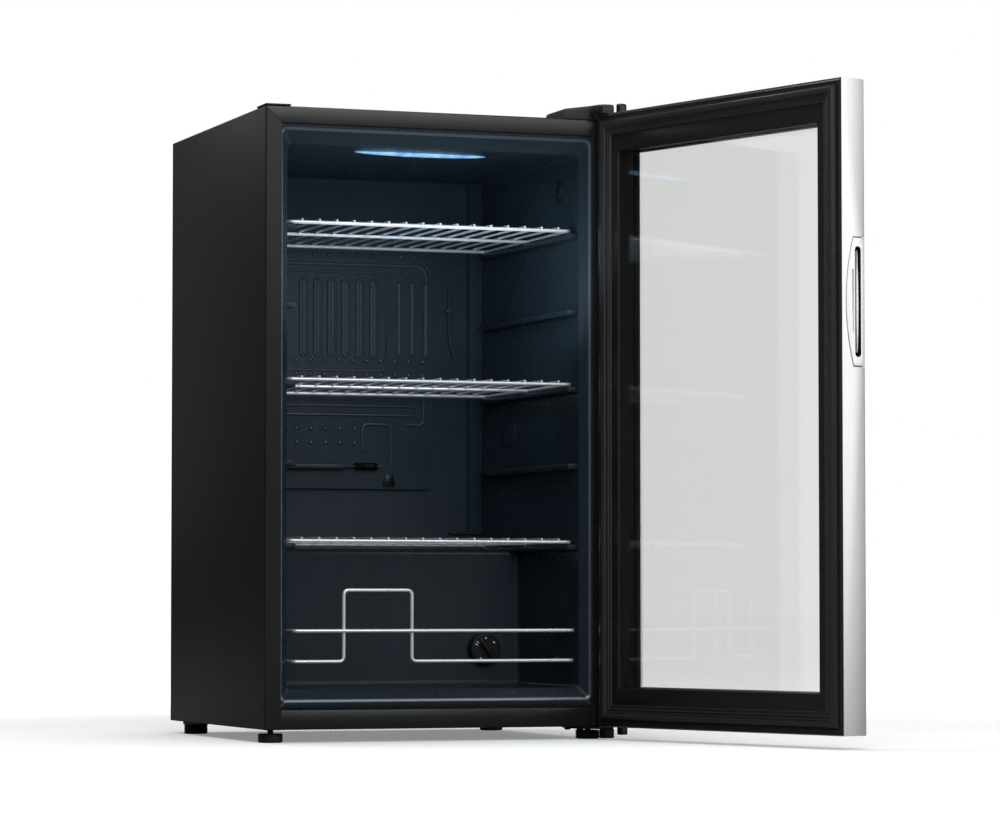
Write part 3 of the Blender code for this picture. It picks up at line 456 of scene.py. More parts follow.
# %% Glass and lamp
def make_glass(name):
    finish, tree, link, shader = new_material(name)
    set_values(shader, Transmission_Weight=1.0, IOR=1.45, Specular_IOR_Level=0.06, Roughness=0.0)
    noise = add_shared(tree, NOISE, Cloud_Scale=5.0)
    tint = add_node(tree, "Mix", A=(0.875, 0.880, 0.880, 1.0), B=(0.885, 0.885, 0.885, 1.0))
    link(noise.outputs["Cloud"], tint.inputs["Factor"])
    link(tint.outputs["Result"], shader.inputs["Base Color"])
    clear = add_node(tree, "BsdfTransparent", Color=(0.92, 0.93, 0.93, 1.0))
    path = add_node(tree, "LightPath")
    either = add_node(tree, "MixShader")
    link(path.outputs["Is Shadow Ray"], either.inputs["Fac"])
    link(shader.outputs["BSDF"], either.inputs[1])
    link(clear.outputs["BSDF"], either.inputs[2])
    link(either.outputs["Shader"], tree.nodes["Material Output"].inputs["Surface"])
    return finish


def make_lamp(name, colour, strength):
    """A frosted plastic that glows in one colour, with paler patches where the diodes sit."""
    finish = make_finish(name, (0.16, 0.26, 0.36), 0.35, grain=600, bump=0.1)
    tree = finish.node_tree
    link = tree.links.new
    shader = tree.nodes["Principled BSDF"]
    noise = add_shared(tree, NOISE, Cloud_Scale=55.0)
    patches = add_node(tree, "MapRange", From_Min=0.42, From_Max=0.62)
    glow = add_node(tree, "Mix", A=(*colour, 1.0), B=(0.34, 0.74, 0.98, 1.0))
    link(noise.outputs["Cloud"], patches.inputs["Value"])
    link(patches.outputs["Result"], glow.inputs["Factor"])
    link(glow.outputs["Result"], shader.inputs["Emission Color"])
    set_values(shader, Emission_Strength=strength)
    return finish


GLASS = make_glass("clear_glass")
LAMP = make_lamp("led_diffuser", (0.05, 0.28, 0.85), 0.62)
print("glass and lamp:", GLASS.name, LAMP.name)

# %% [markdown]
# The cabinet is one folded sheet: sides, top and a front flange. A rounded block is hollowed
# and its mouth cut out, then the mouth's edge is rounded, which gives the thin bright line
# that a folded and painted edge shows. The flange corners are mitred, so a fine groove runs
# across each one.


# %% Cabinet
def cabinet_skin():
    outer = block((-HALF_W, 0, FOOT_Z), (HALF_W, DEPTH, TOP_Z), 0.0022, 4)
    room = block((-HALF_W + 0.0012, 0.0030, FOOT_Z - 0.02),
                 (HALF_W - 0.0012, DEPTH + 0.02, TOP_Z - 0.0012))
    mouth_x = HALF_W - FLANGE
    mouth_z = TOP_Z - FLANGE
    mouth = block((-mouth_x, -0.02, FOOT_Z - 0.02), (mouth_x, 0.02, mouth_z))
    grooves = []
    for side in (-1, 1):
        groove = block((-0.00022, -0.01, -0.001), (0.00022, 0.0004, FLANGE * 1.414 + 0.001))
        corner = Matrix.Translation((side * mouth_x, 0.0, mouth_z))
        grooves.append(shift(groove, corner @ turned(45 * side, "Y")))
    skin = carve(outer, room, mouth)
    rim = []
    for e in skin.edges:
        a, b = (v.co for v in e.verts)
        flat = abs(a.y) < SAME and abs(b.y) < SAME
        upright = abs(abs(a.x) - mouth_x) < SAME and abs(abs(b.x) - mouth_x) < SAME
        level = abs(a.z - mouth_z) < SAME and abs(b.z - mouth_z) < SAME
        if flat and (upright or level):
            rim.append(e)
    round_edges(skin, rim, 0.0011, 3)
    return carve(skin, *grooves)


make_piece("cabinet_skin", cabinet_skin(), BLACK_PAINT, stands_for=["outer_shell"])


# %% [markdown]
# Brackets, covers and sheets already have the right shape. They only need the small rounding
# that pressing and moulding leave on every edge, and their own finish.


# %% Parts that only need softened edges
def soften(node, finish, radius, body="cabinet", segments=2):
    """A merged copy of a plain part, with its sharp edges rounded."""
    bm = bmesh.new()
    bm.from_mesh(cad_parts[node].data)
    bmesh.ops.remove_doubles(bm, verts=bm.verts, dist=DOUBLES)
    bmesh.ops.dissolve_limit(bm, angle_limit=math.radians(1), verts=bm.verts, edges=bm.edges)
    round_sharp(bm, radius, segments)
    return make_piece(f"{node}_softened", bm, finish, body, HERE, [node])


for row in (
    ("front_rail", BLACK_PAINT, 0.0005),
    ("base_pan", GALVANISED, 0.0003),
    ("back_panel", BLACK_PAINT, 0.0002),
    ("bay_divider", GALVANISED, 0.0003),
    ("compressor_mount_plate", GALVANISED, 0.0003),
    ("corner_cap_left", BLACK_PLASTIC, 0.0008),
    ("top_hinge_bracket", ZINC, 0.0004),
    ("bottom_hinge_bracket", DARK_ZINC, 0.0004),
    ("thermostat_body", ZINC, 0.0008),
    ("wall_blank_plate", DARK_LINER, 0.0005),
    ("light_switch_bezel", BLACK_PLASTIC, 0.0006),
    ("light_switch_rocker", BLACK_PLASTIC, 0.0006, "light_switch"),
    ("led_board", WHITE_BOARD, 0.0002),
    ("relay_cover", BLACK_PLASTIC, 0.0006),
    ("corner_duct_cover", DARK_LINER, 0.0012, "cabinet", 3),
    ("door_top_cap", BLACK_PLASTIC, 0.0028, "door", 5),
    ("door_bottom_cap", BLACK_PLASTIC, 0.0012, "door", 3),
):
    soften(*row)

# %% [markdown]
# The liner is one sheet of plastic drawn over a mould, so all its corners are round. The food
# space is drawn as a solid with a step for the compressor, its edges are rounded, the front
# face is opened, and the rim is extruded into the flared lip. Turned inside out and given a
# wall, it is the liner.

# %% Liner
LIP_Y = 0.0045
FLARE_BACK = 0.0175
RIM_STEPS = ((LIP_Y, 0.2160, 0.0550, 0.8040), (0.0032, 0.2258, 0.0440, 0.8185))


def liner():
    side = [(FLARE_BACK, FLOOR_Z), (HUMP_Y, FLOOR_Z), (HUMP_Y, HUMP_TOP), (BACK_Y, HUMP_TOP),
            (BACK_Y, CEILING_Z), (FLARE_BACK, CEILING_Z)]
    bm = plate_from(side, "X", -WALL_X, WALL_X)
    front = [f for f in bm.faces if all(abs(v.co.y - FLARE_BACK) < 1e-6 for v in f.verts)]
    bmesh.ops.delete(bm, geom=front, context="FACES_ONLY")
    inner = [e for e in bm.edges if not e.is_boundary and len(e.link_faces) == 2]
    round_edges(bm, inner, 0.0065, 5)
    for y, half, low, high in RIM_STEPS:
        rim = [e for e in bm.edges if e.is_boundary]
        grown = bmesh.ops.extrude_edge_only(bm, edges=rim)["geom"]
        loop = [g for g in grown if isinstance(g, bmesh.types.BMVert)]
        reach = max(abs(v.co.x) for v in loop)
        top = max(v.co.z for v in loop)
        bottom = min(v.co.z for v in loop)
        for v in loop:
            v.co.x *= half / reach
            v.co.z = low + (v.co.z - bottom) * (high - low) / (top - bottom)
            v.co.y = y
    folds = []
    for e in bm.edges:
        ys = [v.co.y for v in e.verts]
        if max(ys) - min(ys) < DOUBLES / 2 and abs(ys[0] - LIP_Y) < DOUBLES / 2:
            folds.append(e)
    round_edges(bm, folds, 0.0022, 3)
    bmesh.ops.recalc_face_normals(bm, faces=bm.faces)
    centre = Vector((0, 0.15, (FLOOR_Z + CEILING_Z) / 2))
    wall = max(bm.faces, key=lambda f: f.calc_area())
    if wall.normal.dot(centre - wall.calc_center_median()) < 0:
        bmesh.ops.reverse_faces(bm, faces=bm.faces)
    return bm


lined = make_piece("moulded_liner", liner(), DARK_LINER, stands_for=["inner_liner"],
                   outward=False)
# The narrow faces of the lip folds and of the fillet at the floor's foot take the paler copy as
# painted highlight lines.
lined.data.materials.append(LINER_PAINTED_HIGHLIGHT)
for face in lined.data.polygons:
    spot = FROM_CABINET @ face.center
    lean = sorted(abs(part) for part in face.normal)
    narrow = face.area < 0.0032 * max(
        (lined.data.vertices[a].co - lined.data.vertices[b].co).length for a, b in face.edge_keys)
    fold = narrow and 0.0033 < spot.y < 0.0075 and lean[1] > 0.10
    foot = narrow and spot.z < FLOOR_Z + 0.008 and spot.y > 0.1 and lean[1] > 0.66
    if fold or foot:
        face.material_index = 1
thick = lined.modifiers.new("wall", "SOLIDIFY")
thick.thickness = 0.0016
thick.offset = -1.0

# %% [markdown]
# Five ledges a side carry the shelves. Each is a hollow moulded rib, drawn here as a bar with
# a rounded nose, let into the wall.

# %% Shelf ledges
LEDGE_TOPS = (0.6812, 0.5780, 0.4737, 0.3700, 0.2612)


def ledges():
    bm = bmesh.new()
    for top in LEDGE_TOPS:
        for side in (-1, 1):
            span = sorted((side * 0.1905, side * (WALL_X + 0.0008)))
            bar = block((span[0], 0.0210, top - 0.0085), (span[1], 0.3700, top), 0.0028, 3)
            merge(bm, bar)
    return bm


make_piece("shelf_ledges", ledges(), DARK_LINER)

# %% [markdown]
# The cooling plate is two sheets bonded together and blown apart along the channels that
# carry the coolant. Each channel is a rounded, flattened tube half sunk in the plate: tall
# loops on top, rows of spot bonds between them and a line that leads to the tubes below.

# %% Cooling plate
PLATE_FACE = 0.3966


def swelling(points, radius, height):
    """A flattened tube with round ends, half sunk in the plate."""
    bm = wire(points, radius, detail=4)
    for end in (points[0], points[-1]):
        add_ball(bm, Matrix.Translation(end), radius, 12, 8)
    squash = Matrix.Translation((0, PLATE_FACE, 0)) @ Matrix.Diagonal(
        (1, height / radius, 1, 1)) @ Matrix.Translation((0, -PLATE_FACE, 0))
    return shift(bm, squash)


def on_plate(*spots):
    return [Vector((x, PLATE_FACE, z)) for x, z in spots]


def evaporator():
    plate = block((-0.1285, PLATE_FACE, 0.3440), (0.1285, PLATE_FACE + 0.0014, 0.7000))
    round_edges(plate, upright_edges(plate, 1), 0.0100, 6)
    shapes = []
    wide = ((0.0072, 0.0030), (0.0042, 0.0042))
    loops = [(-0.0647 + 0.021 * k, size) for k in range(6) for size in wide]
    loops += [(x, (0.0036, 0.0022)) for x in (0.0780, 0.0980, 0.1185)]
    for x, size in loops:
        shapes.append(swelling(on_plate((x, 0.5370), (x, 0.6360)), *size))
    border = on_plate((-0.1150, 0.6520), (0.0520, 0.6520), (0.0600, 0.6440), (0.0600, 0.5200),
                      (0.0520, 0.5120), (-0.1150, 0.5120))
    shapes.append(swelling(round_corners(border, 0.006), 0.0016, 0.0016))
    header = on_plate((-0.1150, 0.6630), (0.1090, 0.6630), (0.1185, 0.6540), (0.1185, 0.6420))
    shapes.append(swelling(round_corners(header, 0.006), 0.0026, 0.0024))
    for z in (0.4620, 0.4490):
        shapes.append(swelling(on_plate((-0.1150, z), (0.1000, z)), 0.0022, 0.0018))
    feed = on_plate((0.0230, 0.3980), (0.0230, 0.4360), (0.0655, 0.4360), (0.0655, 0.3770))
    shapes.append(swelling(round_corners(feed, 0.008), 0.0026, 0.0024))
    loop = on_plate((0.0900, 0.4360), (0.1150, 0.4360), (0.1150, 0.4690), (0.1150, 0.5050))
    shapes.append(swelling(round_corners(loop, 0.008), 0.0024, 0.0022))
    dots = [(-0.1130 + 0.0215 * k, 0.6760) for k in range(11)]
    dots += [(-0.0755 + 0.021 * k, z) for z in (0.5260, 0.5060) for k in range(10)]
    dots += [(-0.0745 + 0.0215 * k, z) for z in (0.4290, 0.4090) for k in range(5)]
    dots += [(0.0885, 0.6520), (0.1085, 0.4980), (0.1196, 0.6610)]
    for x, z in dots:
        bump = bmesh.new()
        place = Matrix.Translation((x, PLATE_FACE, z)) @ Matrix.Diagonal((1, 0.55, 1, 1))
        add_ball(bump, place, 0.0036, 14, 8)
        shapes.append(bump)
    return merge(plate, *shapes)


cooling = make_piece("cooling_plate", evaporator(), EVAPORATOR,
                     stands_for=["evaporator_plate"])
cooling.data.materials.append(RIB_PAINTED_HIGHLIGHT)
# Faces on top of the raised channels take the paler copy as painted highlight.
for face in cooling.data.polygons:
    if (FROM_CABINET @ face.center).y < PLATE_FACE - 0.0013:
        face.material_index = 1

# %% [markdown]
# At the plate's foot the return tube wears a dark sleeve that narrows to a thin end. The fine
# copper tube winds round it in close turns before it enters the plate, and a clip with a
# screw holds both. A thin feeler wire reads the plate's temperature at its right edge.

# %% Tubes on the plate
TUBE_Y = 0.3898
TUBE_Z = 0.3756


def return_tube():
    profile = [(0.0, -0.1220), (0.0050, -0.1215), (0.0050, -0.0120), (0.0042, -0.0060),
               (0.0022, 0.0010), (0.0020, 0.0020), (0.0020, 0.0500), (0.0, 0.0502)]
    return lathe(profile, (0, TUBE_Y, TUBE_Z), 24, "X")


def winding():
    turns = 9
    steps = 18
    path = []
    for i in range(turns * steps + 1):
        angle = math.tau * i / steps
        x = 0.0100 + 0.0330 * i / (turns * steps)
        path.append((x, TUBE_Y + 0.0042 * math.cos(angle), TUBE_Z + 0.0042 * math.sin(angle)))
    return wire(path, 0.0013, detail=2)


def feeler():
    line = [(0.1550, 0.3995, 0.6340), (0.1550, 0.3995, 0.5600), (0.1630, 0.3995, 0.5310)]
    bm = wire(round_corners(line, 0.012), 0.0021, detail=3)
    return merge(bm, block((0.1500, 0.3972, 0.5985), (0.1600, 0.4030, 0.6025), 0.0007))


def clip_and_screw():
    outline = [(0.0535, 0.3480), (0.0715, 0.3480), (0.0680, 0.3640), (0.0570, 0.3640)]
    bm = round_sharp(plate_from(outline, "Y", 0.3926, 0.3958), 0.0008)
    head = [(0.0, 0.0), (0.0032, 0.0), (0.0032, 0.0008), (0.0020, 0.0016), (0.0, 0.0017)]
    screw = lathe(head, (0, 0, 0), 20)
    face = Matrix.Translation((0.0625, 0.3927, 0.3550)) @ turned(90, "X")
    return merge(bm, shift(screw, face))


make_piece("sleeved_return_tube", return_tube(), SLEEVE, stands_for=["suction_tube"])
make_piece("wound_fine_tube", winding(), DARK_ZINC, stands_for=["capillary_coil"])
make_piece("feeler_wire", feeler(), SLEEVE, stands_for=["sensor_bulb"])
make_piece("tube_clip", clip_and_screw(), DARK_ZINC, stands_for=["evaporator_clip"])

# %% [markdown]
# The ceiling light is a frosted bar in a slim bezel. It glows softly and bluish, so it lights
# the ceiling round it only a little.


# %% Ceiling light
def light_bar():
    bm = bmesh.new()
    centre = Matrix.Translation((0, 0.0770, CEILING_Z - 0.0003))
    form = centre @ Matrix.Diagonal((0.0935, 0.0102, 0.0040, 1)) @ turned(90, "Y")
    add_ball(bm, form, 1.0, 32, 32)
    slice_at(bm, (0, 0, CEILING_Z - 0.0003), (0, 0, 1), True)
    bmesh.ops.holes_fill(bm, edges=[e for e in bm.edges if e.is_boundary])
    return bm


make_piece("light_bar", light_bar(), LAMP, stands_for=["led_lens"])

# %% [markdown]
# Shelves and guard are bent from bright plated wire. A thick wire makes the frame, thin wires
# lie across it from front to back and are welded on top, so their round tips show along the
# front. Every wire is a curve with a round bevel.

# %% Wire shelves
RIM_R = 0.0025
RIM_X = 0.1985
BAR_R = 0.0016
BARS = 16
BAR_PITCH = 0.0241


def shelf(z):
    corners = [(-RIM_X, 0.0300, z), (RIM_X, 0.0300, z), (RIM_X, 0.3660, z), (-RIM_X, 0.3660, z)]
    bm = wire(round_corners(corners, 0.008, 7, True), RIM_R, True, 4)
    merge(bm, wire([(-RIM_X, 0.198, z), (RIM_X, 0.198, z)], RIM_R * 0.9, detail=3))
    height = z + RIM_R + BAR_R - 0.0006
    for i in range(BARS):
        x = (i - (BARS - 1) / 2) * BAR_PITCH
        line = [(x, 0.0285, height), (x, 0.3675, height)]
        merge(bm, wire(line, BAR_R, detail=2))
        for y in (0.0288, 0.3672):
            tip = Matrix.Translation((x, y, height))
            add_ball(bm, tip, BAR_R, 8, 6)
    return bm


for body, z in (("shelf_top", 0.6840), ("shelf_middle", 0.4765), ("shelf_bottom", 0.2640)):
    make_piece(f"{body}_wires", shelf(z), CHROME, body, stands_for=[body])

# %% [markdown]
# Two wires guard the lowest compartment. The lower one rises into a hoop that holds a tall
# bottle, and both bend back along the side walls and end in them.

# %% Bottle guard
GUARD_R = 0.0024
GUARD_X = 0.196
GUARD_BACK = 0.09


def guard_wire(z, y, hoop=()):
    wall = WALL_X - 0.0005
    path = [(-wall, GUARD_BACK, z), (-GUARD_X, GUARD_BACK, z), (-GUARD_X, y, z), *hoop,
            (GUARD_X, y, z), (GUARD_X, GUARD_BACK, z), (wall, GUARD_BACK, z)]
    return wire(round_corners(path, 0.007, 6), GUARD_R, detail=4)


def bottle_guard():
    y = 0.015
    low = 0.1055
    high = 0.199
    left, right = -0.127, -0.0325
    hoop = [(left, y, low), (left, y, high), (right, y, high), (right, y, low)]
    return merge(guard_wire(0.1456, 0.012), guard_wire(low, y, hoop))


make_piece("guard_wires", bottle_guard(), CHROME, stands_for=["bottle_guard"])

# %% [markdown]
# The dial is a turned disc with a chamfered rim and a raised grip across it. The settings are
# plain ticks and dots in white ink: a short fan of ticks for the scale and dots as stops.

# %% Thermostat dial
DIAL = Vector((0.151, 0.2480, 0.1184))
DIAL_FACE = HUMP_Y - 0.0150


def dial():
    profile = [(0.0, -0.0010), (0.0228, -0.0010), (0.0230, -0.0020), (0.0218, -0.0132),
               (0.0206, -0.0148), (0.0190, -0.0150), (0.0182, -0.0142), (0.0, -0.0142)]
    disc = lathe(profile, (DIAL.x, HUMP_Y, DIAL.z), 64, "Y")
    grip = block((-0.0185, -0.0240, -0.0030), (0.0185, -0.0100, 0.0030), 0.0022, 3)
    shift(grip, Matrix.Translation(DIAL) @ turned(53, "Y"))
    shaft = lathe([(0.0, -0.004), (0.003, -0.004), (0.003, 0.0070), (0.0, 0.0070)],
                  (DIAL.x, HUMP_Y, DIAL.z), 20, "Y")
    return merge(disc, grip, shaft)


def dial_marks():
    bm = bmesh.new()
    for degrees, long in ((128, 1), (142, 1), (156, 1), (90, 0), (38, 0), (240, 0)):
        angle = math.radians(degrees)
        size = (0.0044, 0.0004, 0.0013) if long else (0.0022, 0.0004, 0.0022)
        mark = block([-s / 2 for s in size], [s / 2 for s in size], 0.0001, 1)
        out = Vector((math.cos(angle), 0, math.sin(angle))) * 0.0150
        place = Matrix.Translation((DIAL.x + out.x, HUMP_Y - 0.0143, DIAL.z + out.z))
        merge(bm, shift(mark, place @ turned(-degrees, "Y")))
    return bm


make_piece("dial_knob", dial(), BLACK_PLASTIC, "thermostat", stands_for=["thermostat_dial"])
make_piece("dial_scale", dial_marks(), WHITE_INK, "thermostat")

# %% [markdown]
# The door is two frames and two panes. Everything that runs all the way round it - skin,
# core, gasket, spacer - is one cross-section carried round the rectangle with mitred corners,
# so one helper makes them all: it places the section at each corner and bridges the loops.


# %% Mitred rings
def mitred_ring(section, extra=(0.0, 0.0), beyond=0.032):
    """A closed section of (distance in from the edge, y) carried round the door.
    Past a set distance, the bottom and top rails are wider than the sides by the extra."""
    bm = bmesh.new()
    loops = []
    for side, upper in ((-1, 0), (1, 0), (1, 1), (-1, 1)):
        spots = []
        for inset, y in section:
            rail = inset + (extra[upper] if inset > beyond else 0.0)
            z = DOOR_HIGH - rail if upper else DOOR_LOW + rail
            spots.append(bm.verts.new((side * (HALF_W - inset), y, z)))
        loops.append([bm.edges.new((spots[i - 1], spots[i])) for i in range(len(spots))])
    for i in range(4):
        bmesh.ops.bridge_loops(bm, edges=loops[i - 1] + loops[i])
    return bm


print("rings run round a door", round(DOOR_HIGH - DOOR_LOW, 4), "m tall")

# %% [markdown]
# The skin is brushed stainless sheet, folded round the door's outer edge in a small bend. The
# finger grip's outline is cut out of its free side.

# %% Door skin
HANDLE_LOW = 0.4775
HANDLE_HIGH = 0.6390


def handle_outline(grow=0.0):
    low = HANDLE_LOW - grow
    high = HANDLE_HIGH + grow
    centre = (low + high) / 2
    points = []
    for i in range(25):
        t = i / 12 - 1
        bow = -0.0272 + 0.0124 * (1 - t * t) + grow
        points.append((bow, centre + (high - low) / 2 * t))
    front = DOOR_OUT + 0.0003 - grow * 8
    return [(front, low)] + points + [(front, high)]


def door_skin():
    lip = 0.0034
    view = 0.0490
    back = DOOR_IN - 0.0018
    bend = 0.0020
    section = [(0.0, back), (0.0, DOOR_OUT + bend)]
    for k in range(1, 5):
        angle = math.radians(22.5 * k)
        section.append((bend - bend * math.cos(angle), DOOR_OUT + bend - bend * math.sin(angle)))
    section += [(view, DOOR_OUT), (view, DOOR_OUT + lip), (0.0014, DOOR_OUT + lip), (0.0014, back)]
    skin = mitred_ring(section, (0.0044, 0.0042))
    pocket = plate_from(handle_outline(0.0010), "X", -0.26, -0.2225)
    return carve(skin, pocket)


make_piece("door_skin", door_skin(), STAINLESS, "door", DOOR, ["door_outer_frame"])


# %% [markdown]
# The core is black plastic. It carries the panes in a rebate and the grip in a pocket. The
# narrow faces round the glass are darker and duller, as painted shade, so that they stay dark beside
# it.


# %% Door core
def door_core():
    front = DOOR_OUT + 0.0046
    section = [(0.0020, front), (0.0440, front), (0.0440, -0.0156), (0.0440, -0.0080),
               (0.0425, DOOR_IN), (0.0300, DOOR_IN), (0.0285, DOOR_IN - 0.0008),
               (0.0270, DOOR_IN), (0.0035, DOOR_IN), (0.0020, DOOR_IN - 0.0015)]
    core = mitred_ring(section, (0.0090, 0.0096))
    rebate = block((-0.2145, -0.06, 0.0515), (0.2145, -0.0153, 0.8025))
    pocket = plate_from(handle_outline(0.0003), "X", -0.26, -0.2210)
    return carve(core, rebate, pocket)


core = make_piece("door_core", door_core(), DOOR_PLASTIC, "door", DOOR, ["door_inner_frame"])
core.data.materials.append(SPACER_BLACK_AND_SHADE)
# The faces round the glass take the darker black as painted shade.
for face in core.data.polygons:
    spot = FROM_DOOR @ face.center
    inside = abs(spot.x) < HALF_W - 0.0435 and 0.0690 < spot.z < 0.7860
    if inside and abs((FROM_DOOR.to_3x3() @ face.normal).y) < 0.3:
        face.material_index = 1


# %% [markdown]
# The gasket is soft rubber: a thin foot, a round magnet tube and two small lips beside it.


# %% Gasket
def gasket():
    y0 = DOOR_IN + 0.0003
    section = [(0.0086, y0), (0.0086, y0 + 0.0016), (0.0092, y0 + 0.0024), (0.0098, y0 + 0.0016),
               (0.0104, y0 + 0.0036)]
    for k in range(9):
        angle = math.pi * (1 - k / 8)
        section.append((0.0146 + 0.0040 * math.cos(angle), -0.0022 + 0.0019 * math.sin(angle)))
    section += [(0.0186, y0 + 0.0030), (0.0190, y0 + 0.0042), (0.0195, y0 + 0.0047),
                (0.0200, y0 + 0.0042), (0.0204, y0 + 0.0016), (0.0226, y0 + 0.0012),
                (0.0234, y0 + 0.0026), (0.0240, y0 + 0.0029), (0.0246, y0 + 0.0026),
                (0.0252, y0 + 0.0012), (0.0272, y0 + 0.0012), (0.0280, y0 + 0.0022),
                (0.0290, y0 + 0.0022), (0.0300, y0)]
    return mitred_ring(section)


make_piece("door_seal", gasket(), GASKET_RUBBER, "door", DOOR, ["door_gasket"], crease=50)


# %% [markdown]
# Two panes stand in the rebate, with a black band between them round the edge.


# %% Panes and spacer
def pane(front, back):
    return block((-0.2140, front, 0.0520), (0.2140, back, 0.8020), 0.0006, 1)


make_piece("front_pane", pane(DOOR_OUT + 0.0045, -0.0382), GLASS, "door", DOOR,
           ["door_outer_glass"])
make_piece("rear_pane", pane(-0.0195, -0.0156), GLASS, "door", DOOR, ["door_inner_glass"])


def spacer():
    edge = 0.0280
    inner = 0.0405
    section = [(edge, -0.0379), (inner - 0.001, -0.0379), (inner, -0.0369), (inner, -0.0208),
               (inner - 0.001, -0.0198), (edge, -0.0198)]
    return mitred_ring(section, (0.0090, 0.0100), 0.0)


make_piece("pane_spacer", spacer(), SPACER_BLACK_AND_SHADE, "door", DOOR, ["door_glass_spacer"])

# %% [markdown]
# The grip is a bowed insert let into the door's free edge. A long slot with a rounded floor
# takes the fingers; a slim lens-shaped blade stands in the slot.


# %% Handle
def handle():
    body = plate_from(handle_outline(), "X", -HALF_W + 0.0001, -0.2214)
    face = [e for e in body.edges if all(v.co.x < -HALF_W + 0.0005 for v in e.verts)]
    round_edges(body, face, 0.0010, 3)
    slot = block((-0.26, -0.0397, 0.4890), (-0.2245, -0.0296, 0.6280), 0.0048, 4)
    scoop = block((-0.26, -0.0275, 0.5200), (-0.2385, -0.0250, 0.5990), 0.0011, 2)
    return carve(body, slot, scoop)


def blade():
    steps = [i / 6 - 1 for i in range(13)]
    lens = [(-0.0346 - 0.0021 * (1 - t * t), 0.5585 + 0.0640 * t) for t in steps]
    lens += [(-0.0346 + 0.0021 * (1 - t * t), 0.5585 + 0.0640 * t) for t in steps[11:0:-1]]
    return round_sharp(plate_from(lens, "X", -0.2390, -0.2246), 0.0003, 2, 60)


grip = make_piece("grip_insert", handle(), SILVER_PLASTIC, "door", DOOR, ["door_handle"])
grip.data.materials.append(SPACER_BLACK_AND_SHADE)
# The slot's walls and floor and the insert's sides behind its face take the black as painted shade.
for face in grip.data.polygons:
    spot = FROM_DOOR @ face.center
    across = abs((FROM_DOOR.to_3x3() @ face.normal).x) < 0.35
    if spot.y > DOOR_OUT + 0.0010 and (across or spot.x > -0.2350):
        face.material_index = 1
make_piece("grip_blade", blade(), SILVER_PLASTIC, "door", DOOR)

# %% [markdown]
# The hinge cover is a shallow cap that rises to a fold and then runs level. Its crown is
# rounded, and a nose at the right reaches forward over the door's pin.


# %% Hinge cover
COVER_TOP = 0.8525
COVER_FALL = 0.0060
COVER_SAG = 0.0012
COVER_X = (0.1785, 0.2393)
COVER_FOLD = 0.2150


def hinge_cover():
    left, right = COVER_X
    outline = [(left, 0.0700), (left, 0.0008), (COVER_FOLD, 0.0008), (0.2190, -0.0240),
               (0.2230, -0.0270), (right, -0.0270), (right, 0.0700)]
    bm = plate_from(outline, "Z", TOP_Z + 0.0003, COVER_TOP)
    slice_at(bm, (COVER_FOLD, 0, 0), (1, 0, 0))
    for v in bm.verts:
        if v.co.z > COVER_TOP - 0.001:
            run = max(0.0, (COVER_FOLD - v.co.x) / (COVER_FOLD - left))
            v.co.z -= COVER_SAG + (COVER_FALL - COVER_SAG) * run
    crown = [e for e in bm.edges if all(v.co.z > TOP_Z + 0.005 for v in e.verts)
             and e.calc_face_angle() > 0.5]
    round_edges(bm, crown, 0.0034, 5)
    room = block((0.1805, 0.0028, 0.82), (0.2375, 0.0680, 0.8430))
    nose = block((0.2210, -0.0242, 0.82), (0.2376, 0.0690, 0.8462))
    step = block((0.1700, -0.0400, 0.82), (0.2500, 0.0004, DOOR_HIGH + 0.0006))
    return carve(bm, room, nose, step)


make_piece("hinge_cover", hinge_cover(), BLACK_PLASTIC, stands_for=["top_hinge_cover"])


# %% [markdown]
# The pins are turned steel; the lower one has a wide head under its bracket. Each screw has a
# rounded head with a cross cut in it.


# %% Pins and screws
def screw(seat, way):
    """A screw head on its seat; way is 1 with the head up and -1 with it down."""
    profile = [(0.0, 0.0), (0.0045, 0.0), (0.0045, 0.0009), (0.0038, 0.0019),
               (0.0020, 0.0024), (0.0, 0.0024)]
    head = lathe(profile, (0, 0, 0), 28)
    cross = block((-0.0024, -0.0005, 0.0012), (0.0024, 0.0005, 0.0040))
    other = block((-0.0005, -0.0024, 0.0012), (0.0005, 0.0024, 0.0040))
    head = carve(head, cross, other)
    flip = HERE if way > 0 else turned(180, "X")
    return shift(head, Matrix.Translation(seat) @ flip)


for i, x in enumerate((0.1920, 0.2130)):
    make_piece(f"top_screw_{i + 1}", screw((x, 0.0400, TOP_Z + 0.0031), 1), ZINC,
               stands_for=[f"top_hinge_screw_{i + 1}"])
for i, y in enumerate((0.0060, 0.0520)):
    make_piece(f"bottom_screw_{i + 1}", screw((0.2020, y, 0.0139), -1), DARK_ZINC,
               stands_for=[f"bottom_hinge_screw_{i + 1}"])
upper_pin = [(0.0, 0.8180), (0.0030, 0.8180), (0.0035, 0.8186), (0.0035, 0.8412), (0.0, 0.8412)]
lower_pin = [(0.0, 0.0020), (0.0088, 0.0020), (0.0096, 0.0028), (0.0098, 0.0040),
             (0.0098, 0.0132), (0.0092, 0.0139), (0.0035, 0.0139), (0.0035, 0.0344),
             (0.0030, 0.0350), (0.0, 0.0350)]
make_piece("upper_pin", lathe(upper_pin, HINGE, 28), DARK_ZINC, stands_for=["top_hinge_pin"])
make_piece("lower_pin", lathe(lower_pin, HINGE, 28), DARK_ZINC, stands_for=["bottom_hinge_pin"])

# %% [markdown]
# The feet are turned from a profile with grooves round it, so that fingers can screw the front
# ones up and down. The rear ones wear a grey collar.

# %% Feet
FOOT_X = 0.2225
FOOT_R = 0.0165
GROOVE_R = 0.0157
FOOT_FRONT_Y = 0.030
FOOT_BACK_Y = 0.400


def foot_profile(top, stud):
    profile = [(0.0, 0.0), (0.0140, 0.0), (0.0158, 0.0010), (FOOT_R, 0.0024)]
    z = 0.0030
    while z < top - 0.0018:
        profile += [(FOOT_R, z), (GROOVE_R, z + 0.0004), (GROOVE_R, z + 0.0010), (FOOT_R, z + 0.0014)]
        z += 0.0022
    profile += [(0.0162, top - 0.0004), (0.0150, top)]
    return profile + stud


